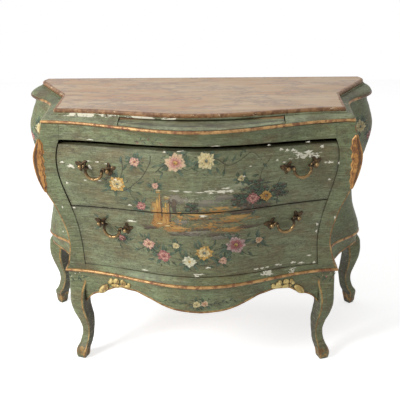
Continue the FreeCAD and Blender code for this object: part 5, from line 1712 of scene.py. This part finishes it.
    def drawer_skin(self, upper: bool) -> Callable[[Array, Array, float], Array]:
        """The skin of a drawer front. What would lie beyond its edges is pushed back to them."""
        def skin(u: Array, v: Array, lift: float) -> Array:
            """Points of the front."""
            line = self.split[0] + (self.split[1] - self.split[0]) * (u + 396) / 792
            low, high = (line + 1.0, 777.5) if upper else (354.5, line - 2.4)
            z = np.clip(v, low, high)
            reach = self.case.half_opening(z) - 4.0
            return on_front(np.clip(u, -reach, reach), z, lift)
        return skin

    def landscape(self, work: Brushwork) -> None:
        """A wide meadow with water, far hills, two ruined columns, an urn and trees, in soft browns."""
        for paint, lift, washes in self.washes:
            for u, v, wide, tall in washes:
                work.patch(u, v, wide, tall, paint, lift)
        for u, foot, head in self.columns:
            for shift, paint in ((-4, Paint.OCHRE), (4, Paint.EARTH), (8, Paint.UMBER)):
                work.patch(u + shift, (foot + head) / 2, 10, head - foot, paint, 0.1, rough=0.04)
            for level, wide in ((foot, 30), (foot + 7, 24), (head - 4, 22), (head + 2, 30)):
                work.patch(u, level, wide, 7, Paint.CREAM if wide == 30 else Paint.OCHRE, 0.12, rough=0.05)
        for v, wide, tall in self.urn:
            work.patch(-52, v, wide, tall, Paint.OCHRE if tall < 12 else Paint.EARTH, 0.12, rough=0.03)
        for u, foot, tall, over in self.trees:
            work.stem(((u, foot), (u + over * 0.4, foot + tall * 0.45), (u + over, foot + tall)), 5,
                      Paint.UMBER)
            spread = 4 + 0.3 * tall
            for k in range(40):
                at_u = u + over + spread * math.sin(2.4 * k) * (0.4 + 0.018 * k)
                at_v = foot + tall * 0.78 + 0.3 * tall * math.cos(1.7 * k)
                work.patch(at_u, at_v, 22, 12, (*GREENS, Paint.UMBER)[k % 3], 0.13 + 0.01 * (k % 4))

    def drawers(self) -> None:
        """Paint both drawer fronts, so that a motif runs on from one to the other."""
        for name in ("upper_drawer", "lower_drawer"):
            work = Brushwork(f"{name}_art", name, self.drawer_skin(name == "upper_drawer"))
            self.landscape(work)
            for k, (u, v, turn) in enumerate(self.leaves):
                work.leaf(u, v, turn, 24 + 4 * math.sin(k), 10 + 2 * math.cos(k), GREENS[k % 3 == 0])
            for points in self.stems:
                work.stem(points)
            for flower in self.flowers:
                work.spray(*flower)
            work.bare(self.spots, 0.62)
            work.finish()

    def frame_twigs(self) -> None:
        """The small twig on the top rail and the bare spots of the frame."""
        work = Brushwork("frame_art", "carcass", on_front)
        work.stem(((-190, 800), (-150, 806), (-110, 800)), 2)
        for k, u in enumerate(range(-184, -100, 12)):
            work.leaf(u, 801 + 5 * (k % 2), 60 if k % 2 else -50, 12, 5,
                      Paint.BLUE_LEAF if k % 3 else Paint.ROSE)
        work.bare(self.frame_spots, 0.4)
        work.finish()

    def apron(self) -> None:
        """The spray on the middle of the apron and the flowers on its knees."""
        def skin(u: Array, v: Array, lift: float) -> Array:
            """Points of the front apron."""
            y = np.array([apron_plan(float(z)).front_y(float(at)) for at, z in zip(u.ravel(), v.ravel())])
            return np.stack([u, y.reshape(u.shape) - lift, v], axis=-1)

        work = Brushwork("apron_art", "carcass", skin, False)
        for way in (-1, 1):
            work.stem(((way * 20, 262), (way * 60, 266), (way * 110, 272)), 2)
            for k in range(7):
                turn = 90 - way * 55 if k % 2 else -90 + way * 50
                work.leaf(way * (30 + 13 * k), 264 + 1.2 * k, turn, 15, 6, GREENS[k % 2])
        for u, v, radius, paint in ((-12, 262, 13, Paint.CREAM), (14, 265, 12, Paint.BLUSH)):
            work.spray(u, v, radius, paint, 4)
        for u, v, size, paint in self.knee_flowers:
            work.patch(u, v, size, size, paint, 1.6)
        for way in (-1, 1):
            for u, v, turn in ((404, 282, 70), (416, 286, 110), (428, 280, 60), (398, 296, 150),
                               (436, 300, 40)):
                work.leaf(way * u, v, turn if way > 0 else 180 - turn, 20, 7, Paint.DARK_LEAF, 1.5)
        work.finish()

    def sides(self) -> None:
        """A spray of flowers on each side panel."""
        for way in (-1, 1):
            work = Brushwork(f"{hand(way)}_side_art", "carcass",
                             lambda u, v, lift, way=way: on_side(u, v, way, lift))
            for points in self.side_stems:
                work.stem(points, 2.6)
            for k, (u, v, turn) in enumerate(self.side_leaves):
                work.leaf(u, v, turn, 26, 12, GREENS[k % 2])
            for flower in self.side_flowers:
                work.spray(*flower)
            work.bare(((10, 780, 16, 8), (200, 600, 12, 20), (140, 480, 20, 8), (230, 740, 10, 14)), 0.6)
            work.finish()

    def build(self) -> None:
        """Paint everything."""
        self.drawers()
        self.frame_twigs()
        self.apron()
        self.sides()


# -------------------------------------------------------------------------------------- the room

@dataclass(frozen=True)
class Studio:
    """Camera, lamps and the pale floor."""

    eye: tuple[float, float, float] = (0.0885, -2.697, 1.568)
    yaw: float = 0.0346
    pitch: float = 0.3693
    roll: float = -0.0150
    lens: float = 76.5

    def camera(self) -> None:
        """Set up the camera at its station."""
        right = Vector((math.cos(self.yaw), math.sin(self.yaw), 0))
        ahead = Vector((-math.sin(self.yaw), math.cos(self.yaw), 0))
        rise = Vector((0, 0, 1))
        up = ahead * math.sin(self.pitch) + rise * math.cos(self.pitch)
        forward = ahead * math.cos(self.pitch) - rise * math.sin(self.pitch)
        level_right = right * math.cos(self.roll) + up * math.sin(self.roll)
        level_up = -right * math.sin(self.roll) + up * math.cos(self.roll)
        data = bpy.data.cameras.new("station")
        data.lens = self.lens
        data.sensor_width = 36
        data.clip_end = 50
        made = bpy.data.objects.new("station", data)
        bpy.context.scene.collection.objects.link(made)
        turn = Matrix((level_right, level_up, -forward)).transposed()
        made.matrix_world = Matrix.Translation(self.eye) @ turn.to_4x4()
        bpy.context.scene.camera = made

    def lamp(self, name: str, place: tuple, aim: tuple, size: float, power: float) -> None:
        """One soft area lamp."""
        data = bpy.data.lights.new(name, "AREA")
        data.size = size
        data.energy = power
        made = bpy.data.objects.new(name, data)
        made.location = place
        made.rotation_euler = (Vector(aim) - Vector(place)).to_track_quat("-Z", "Y").to_euler()
        bpy.context.scene.collection.objects.link(made)

    def floor(self) -> None:
        """A plain pale floor that keeps a soft shadow."""
        mesh = bpy.data.meshes.new("floor")
        mesh.from_pydata([(-4, -4, 0), (4, -4, 0), (4, 4, 0), (-4, 4, 0)], [], [(0, 1, 2, 3)])
        made = bpy.data.objects.new("floor", mesh)
        bpy.context.scene.collection.objects.link(made)
        paint = bpy.data.materials.new("pale_floor")
        paint.use_nodes = True
        paint.node_tree.nodes.clear()
        b = Bench(paint.node_tree)
        matt = b.add("BsdfDiffuse", {"Color": (0.86, 0.86, 0.86, 1)})
        glow = b.add("Emission", {"Color": (1, 1, 1, 1), "Strength": b.times(b.seen(), 0.68)})
        both = b.add("AddShader", {0: matt.outputs[0], 1: glow.outputs[0]})
        b.add("OutputMaterial", {"Surface": both.outputs[0]})
        mesh.materials.append(paint)

    def world(self) -> None:
        """An even surround, white where the camera sees it."""
        world = bpy.data.worlds.new("surround")
        bpy.context.scene.world = world
        world.use_nodes = True
        world.node_tree.nodes.clear()
        b = Bench(world.node_tree)
        glow = b.add("Background", {"Color": (1, 1, 1, 1), "Strength": b.spread(b.seen(), 0.27, 1.0)})
        b.add("OutputWorld", {"Surface": glow.outputs[0]})

    def build(self) -> None:
        """Set up the whole room."""
        self.camera()
        self.lamp("key", (-2.5, -1.7, 2.1), (-0.1, 0, 0.5), 1.3, 98)
        self.lamp("fill", (2.6, -2.4, 1.6), (0, 0, 0.5), 2.6, 2)
        self.lamp("over", (0.0, 0.3, 3.2), (0, 0.1, 0.8), 2.4, 16)
        self.floor()
        self.world()
        bpy.context.scene.view_settings.view_transform = "Standard"


@dataclass
class PlainNodes:
    """The CAD pieces that keep their own shape: the inside, the back and the drawer boxes."""

    iron: tuple[str, ...] = ("back_nails",)
    rear: tuple[str, ...] = ("back_boards", "rear_apron", "rear_top_rail", "glue_blocks")
    shown: list[str] = field(default_factory=list)

    def dress(self) -> None:
        """Give every kept piece its timber or iron."""
        for name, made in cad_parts.items():
            finish = (IRON if name in self.iron else BACK_WOOD if name in self.rear
                      else SIDE_WOOD if name.endswith(("_side", "_guides")) else WOOD)
            mesh = made.data
            if len(mesh.materials) == 0:
                mesh.materials.append(finish.material())
            for slot in made.material_slots:
                slot.link = "OBJECT"
                slot.material = finish.material()
            self.shown.append(name)
        LOG.info("%d plain pieces dressed", len(self.shown))


def main() -> None:
    """Build the chest, piece by piece, then the room."""
    logging.basicConfig(level=logging.INFO, format="%(message)s")
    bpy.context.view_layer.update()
    Studio().build()
    PlainNodes().dress()
    case = Carcass()
    case.build()
    TopWork().build()
    GiltBeads().build()
    Base().build()
    Carving().build()
    upper = Drawer("upper_drawer", case,
                   [Handle("upper", "left", -323, 709, -5), Handle("upper", "right", 317, 713.5, 5)],
                   (568.3, 587.3), (777.2, 777.2), (520, -131, -216), shift=1.0,
                   flake_spots=((-360, 705, 60, 16, 0.5), (300, 752, 80, 20, 0.5), (350, 740, 60, 20, 0.52),
                                (75, 650, 80, 6, 0.6), (-40, 770, 120, 8, 0.3)))
    lower = Drawer("lower_drawer", case,
                   [Handle("lower", "left", -276, 508.5, -8.2), Handle("lower", "right", 268, 526, 9.5)],
                   (353, 353), (565.3, 584.3), (460, -108, -216),
                   flake_spots=((250, 364, 80, 5, 0.42), (-40, 360, 90, 4, 0.42)))
    upper.build()
    lower.build()
    Decoration(case).build()


if __name__ == "__main__":
    main()
